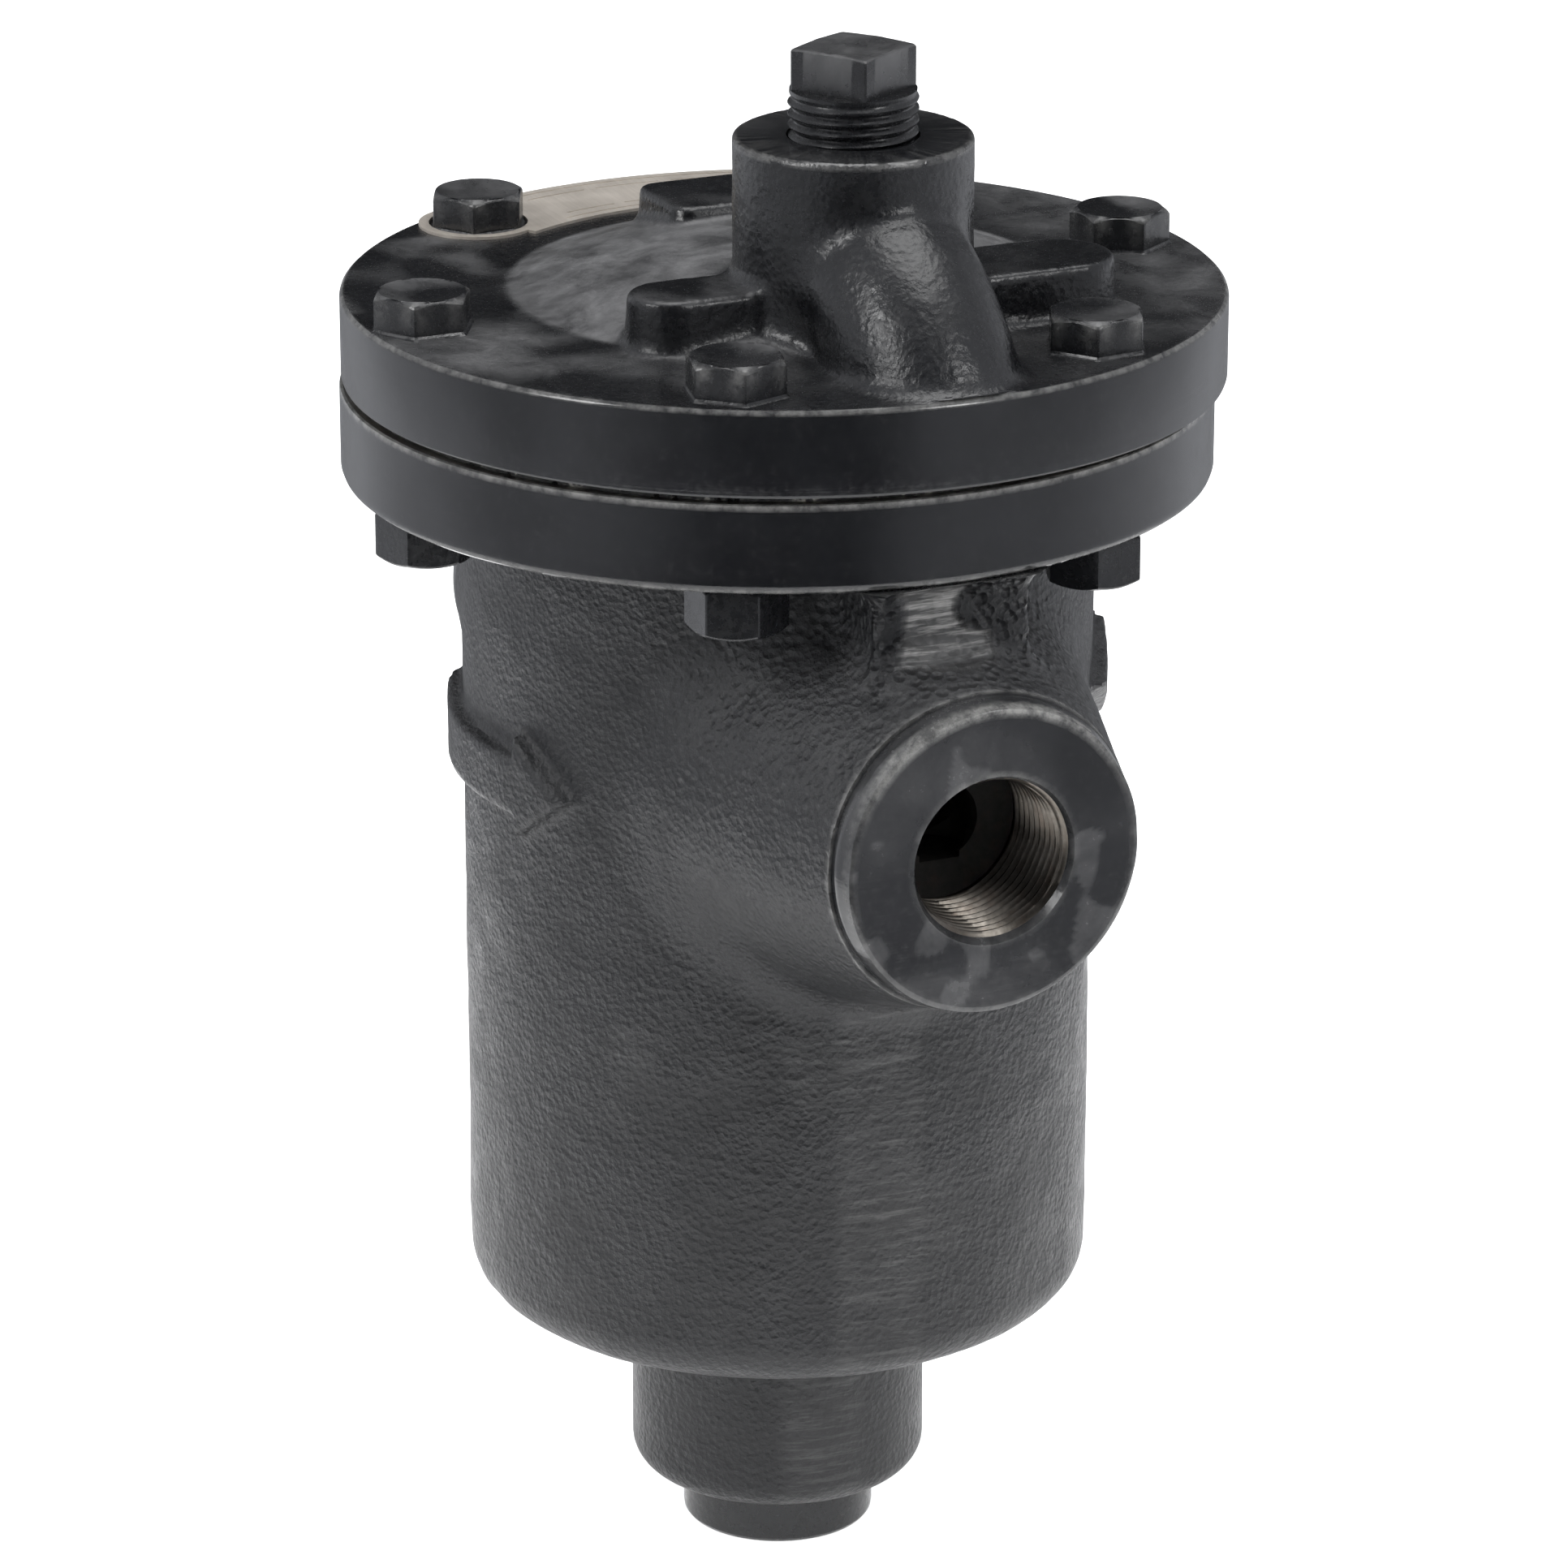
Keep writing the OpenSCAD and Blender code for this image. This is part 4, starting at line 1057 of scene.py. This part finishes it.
def tag_sector(inner, outer, start, end, low, high):
    """Closed plate bounded by two arcs about the cap's axis, angles in degrees."""
    count = 120
    angles = np.radians(np.linspace(start, end, count))
    loops = []
    points = []
    for r, z in ((inner, low), (outer, low), (outer, high), (inner, high)):
        loops.append(list(range(len(points), len(points) + count)))
        points += [(CAP_AT[0] + r * math.cos(a), CAP_AT[1] + r * math.sin(a), z) for a in angles]
    faces = [(loops[k][i], loops[(k + 1) % 4][i], loops[(k + 1) % 4][i + 1], loops[k][i + 1])
             for k in range(4) for i in range(count - 1)]
    faces += [tuple(loop[0] for loop in loops)[::-1], tuple(loop[-1] for loop in loops)]
    return points, [f[::-1] for f in faces]


def make_tag():
    """Stainless data plate held under two bolt heads; its raised border and fields carry no lettering."""
    low, high = tag_low[2], tag_high[2]
    tag = new_object("id_tag_plate", *tag_sector(TAG_IN, TAG_OUT, *TAG_ENDS, low, high), "housing",
                     "tag_steel", ["id_tag"])
    ends = [BOLT_PLACES[i] for i in (2, 3)]
    for x, y in ends:
        cut(tag, [rod((x, y, low), (x, y, high), EYELET_R, 96)], "UNION")
    cut(tag, [rod((x, y, low - 1), (x, y, high + 1), EYELET_R - 1.7, 96) for x, y in ends])
    groove = high - TAG_GROOVE
    border = [tag_sector(TAG_IN + 1.6, TAG_IN + 2.1, 160.5, 199.5, groove, high + 1),
              tag_sector(TAG_OUT - 2.1, TAG_OUT - 1.6, 160.5, 199.5, groove, high + 1)]
    cut(tag, border)
    fields = [tag_sector(inner, inner + 0.4, a, a + 10, groove, high + 1)
              for inner in (TAG_IN + 4.2, TAG_OUT - 4.8) for a in (163, 175, 187)]
    cut(tag, fields)
    finish_edges(tag)
    dress(tag, tag_steel)
    bevel(tag, 0.12)


make_tag()


def make_gasket():
    """Cut sheet whose outer edge is a little ragged and frayed."""
    rng = np.random.default_rng(11)
    count = 900
    angles = np.arange(count) * 2 * np.pi / count
    low, high = gasket_low[2], gasket_high[2]
    rag = np.convolve(np.tile(rng.random(count), 3), np.ones(5) / 5, "same")[count:2 * count]
    outer = gasket_high[0] - 1.3 * rag ** 2
    outer -= 0.9 * (rng.random(count) > 0.975)
    points, loops = [], []
    for r, z in ((CHAMBER_R + 0.6, low), (outer, low), (outer, (low + high) / 2), (outer - 0.15, high),
                 (CHAMBER_R + 0.6, high)):
        r = np.broadcast_to(r, angles.shape)
        loops.append(list(range(len(points), len(points) + count)))
        points += list(zip(r * np.cos(angles), r * np.sin(angles), np.full(count, z)))
    faces = [(a[i], a[(i + 1) % count], b[(i + 1) % count], b[i])
             for a, b in zip(loops, loops[1:] + loops[:1]) for i in range(count)]
    gasket = new_object("cap_gasket_sheet", points, [f[::-1] for f in faces], "housing", "gasket_sheet",
                        ["cap_gasket"])
    holes = bolt_holes(low - 1, high + 1)
    cut(gasket, holes + [rod((PASSAGE_X, 0, low - 1), (PASSAGE_X, 0, high + 1), PASSAGE_R)])
    finish_edges(gasket)
    dress(gasket, gasket_sheet())


make_gasket()


# ---- pieces kept from the CAD

KEPT = {
    "valve_seat": (seat_steel, 0.25), "valve": (seat_steel, 0.15), "lever": (lever_steel, 0.3),
    "valve_retainer": (lever_steel, 0.15), "guide_pin_plate": (lever_steel, 0.25),
    "guide_pins": (seat_steel, 0.25), "guide_plate_screws": (seat_steel, 0.3),
    "screw_lockwashers": (lever_steel, 0.15), "bucket": (bucket_steel, 0.25),
    "bucket_clip": (lever_steel, 0.25), "clip_rivets": (seat_steel, 0.4), "hanger_pin": (seat_steel, 0.25),
    "bucket_weight": (iron_as_painted_shade, 0.5), "inlet_tube": (bucket_steel, 0.3),
}
for node, (material, edge) in KEPT.items():
    kept = frame["nodes"][node]
    dress(kept, material)
    bevel(kept, edge)


# ---- studio and camera


SHEET_R = 0.34  # the floor near the object, in metres


def paper(name, profile, material):
    """Round sheet of studio paper from (radius, height) pairs in metres, facing up and inwards."""
    sides = 128
    angles = np.arange(sides) * 2 * np.pi / sides
    points, rings = [], []
    for r, z in profile:
        count = sides if r else 1
        rings.append(list(range(len(points), len(points) + count)))
        points += [(r * math.cos(a) / MM, r * math.sin(a) / MM, z / MM) for a in angles[:count]]
    sheet = new_object(name, points, [f[::-1] for f in bridge(rings, sides)], None, None)
    dress(sheet, material)
    return sheet


def stage_floor():
    """Pale floor that sweeps up into a wall all round; only the sheet by the object shows in its gloss."""
    look = Look("studio paper", Roughness=0.9)
    grain = look.noise(3, 3, 0.6)
    tone = look.mix(grain, (0.86, 0.86, 0.86), (0.90, 0.90, 0.90))
    material = look.wear(Base_Color=tone, Normal=look.bump(grain, 0.05, 0.3))
    sheet = paper("studio_floor", [(0, 0), (0.2, 0), (SHEET_R, 0)], material)
    sweep = paper("studio_sweep", [
        (SHEET_R, 0), (1.0, 0), (2.2, 0), (2.6, 0.03), (3.0, 0.16), (3.3, 0.42), (3.45, 0.8), (3.5, 2.6),
    ], material)
    sweep.visible_glossy = False
    sun = bpy.data.lights.new("floor wash", "SUN")
    sun.energy = 3.5
    sun.angle = math.radians(60)
    sun.use_shadow = False
    lamp = bpy.data.objects.new("floor wash", sun)
    bpy.context.scene.collection.objects.link(lamp)
    washed = bpy.data.collections.new("washed")
    washed.objects.link(sheet)
    washed.objects.link(sweep)
    lamp.light_linking.receiver_collection = washed


def softbox(name, place, target, size, power):
    light = bpy.data.lights.new(name, "AREA")
    light.shape = "RECTANGLE"
    light.size, light.size_y = size
    light.energy = power
    lamp = bpy.data.objects.new(name, light)
    lamp.location = place
    lamp.rotation_euler = (Vector(target) - Vector(place)).to_track_quat("-Z", "Y").to_euler()
    bpy.context.scene.collection.objects.link(lamp)


VIEW_AZIMUTH = math.radians(66)
VIEW_RADIUS = 1.1164
VIEW_HEIGHT = 0.5318
VIEW_PITCH = 0.345
VIEW_SIDE = 0.0011
LENS = 165.2
SENSOR = 36.0


def toward_camera(angle_deg, distance, height):
    """A place round the object, its angle counted from the camera's side, to the right."""
    a = VIEW_AZIMUTH + math.radians(angle_deg)
    return (distance * math.sin(a), -distance * math.cos(a), height)


def make_camera():
    data = bpy.data.cameras.new("photo view")
    data.lens = LENS
    data.sensor_width = SENSOR
    data.clip_start = 0.01
    camera = bpy.data.objects.new("photo view", data)
    camera.location = toward_camera(0, VIEW_RADIUS, VIEW_HEIGHT)
    drop = VIEW_RADIUS * math.tan(VIEW_PITCH)
    side = (VIEW_SIDE * math.cos(VIEW_AZIMUTH), VIEW_SIDE * math.sin(VIEW_AZIMUTH))
    target = Vector((side[0], side[1], VIEW_HEIGHT - drop))
    camera.rotation_euler = (target - camera.location).to_track_quat("-Z", "Y").to_euler()
    bpy.context.scene.collection.objects.link(camera)
    bpy.context.scene.camera = camera


def light_room():
    """World light: bright to both sides, overhead and below, and dark in front of and behind the object."""
    world = bpy.data.worlds.new("room")
    world.use_nodes = True
    nodes, links = world.node_tree.nodes, world.node_tree.links
    direction = nodes.new("ShaderNodeTexCoord").outputs["Generated"]

    def along(axis):
        dot = nodes.new("ShaderNodeVectorMath")
        dot.operation = "DOT_PRODUCT"
        links.new(direction, dot.inputs[0])
        dot.inputs[1].default_value = axis
        return dot.outputs["Value"]

    def calc(operation, a, b):
        node = nodes.new("ShaderNodeMath")
        node.operation = operation
        for socket, value in zip(node.inputs, (a, b)):
            if isinstance(value, bpy.types.NodeSocket):
                links.new(value, socket)
            else:
                socket.default_value = value
        return node.outputs[0]

    def step(value, low, high, top):
        node = nodes.new("ShaderNodeMapRange")
        node.interpolation_type = "SMOOTHSTEP"
        links.new(value, node.inputs[0])
        for socket, number in zip(list(node.inputs)[1:5], (low, high, 0, top)):
            socket.default_value = number
        return node.outputs[0]

    front = along((math.sin(VIEW_AZIMUTH), -math.cos(VIEW_AZIMUTH), 0))
    right = along((math.cos(VIEW_AZIMUTH), math.sin(VIEW_AZIMUTH), 0))
    up = along((0, 0, 1))
    sides = step(calc("ABSOLUTE", right, 0), 0.22, 0.80, 0.62)
    ground = calc("MULTIPLY", step(up, 0.05, -0.15, 1.0), step(front, 0.3, -0.2, 0.3))
    total = calc("ADD", calc("ADD", sides, ground), step(up, 0.60, 0.95, 0.5))
    links.new(calc("ADD", total, 0.03), nodes["Background"].inputs["Strength"])
    nodes["Background"].inputs["Color"].default_value = (0.955, 0.975, 1.03, 1)
    bpy.context.scene.world = world


stage_floor()
make_camera()
middle = (0, 0, 0.15)
softbox("top", toward_camera(160, 0.3, 1.7), middle, (1.1, 1.1), 14)
softbox("front left", toward_camera(-60, 1.3, 1.15), middle, (0.4, 0.6), 8)
softbox("front right", toward_camera(48, 1.4, 1.2), middle, (0.35, 0.5), 6)
light_room()
bpy.context.scene.view_settings.view_transform = "Standard"

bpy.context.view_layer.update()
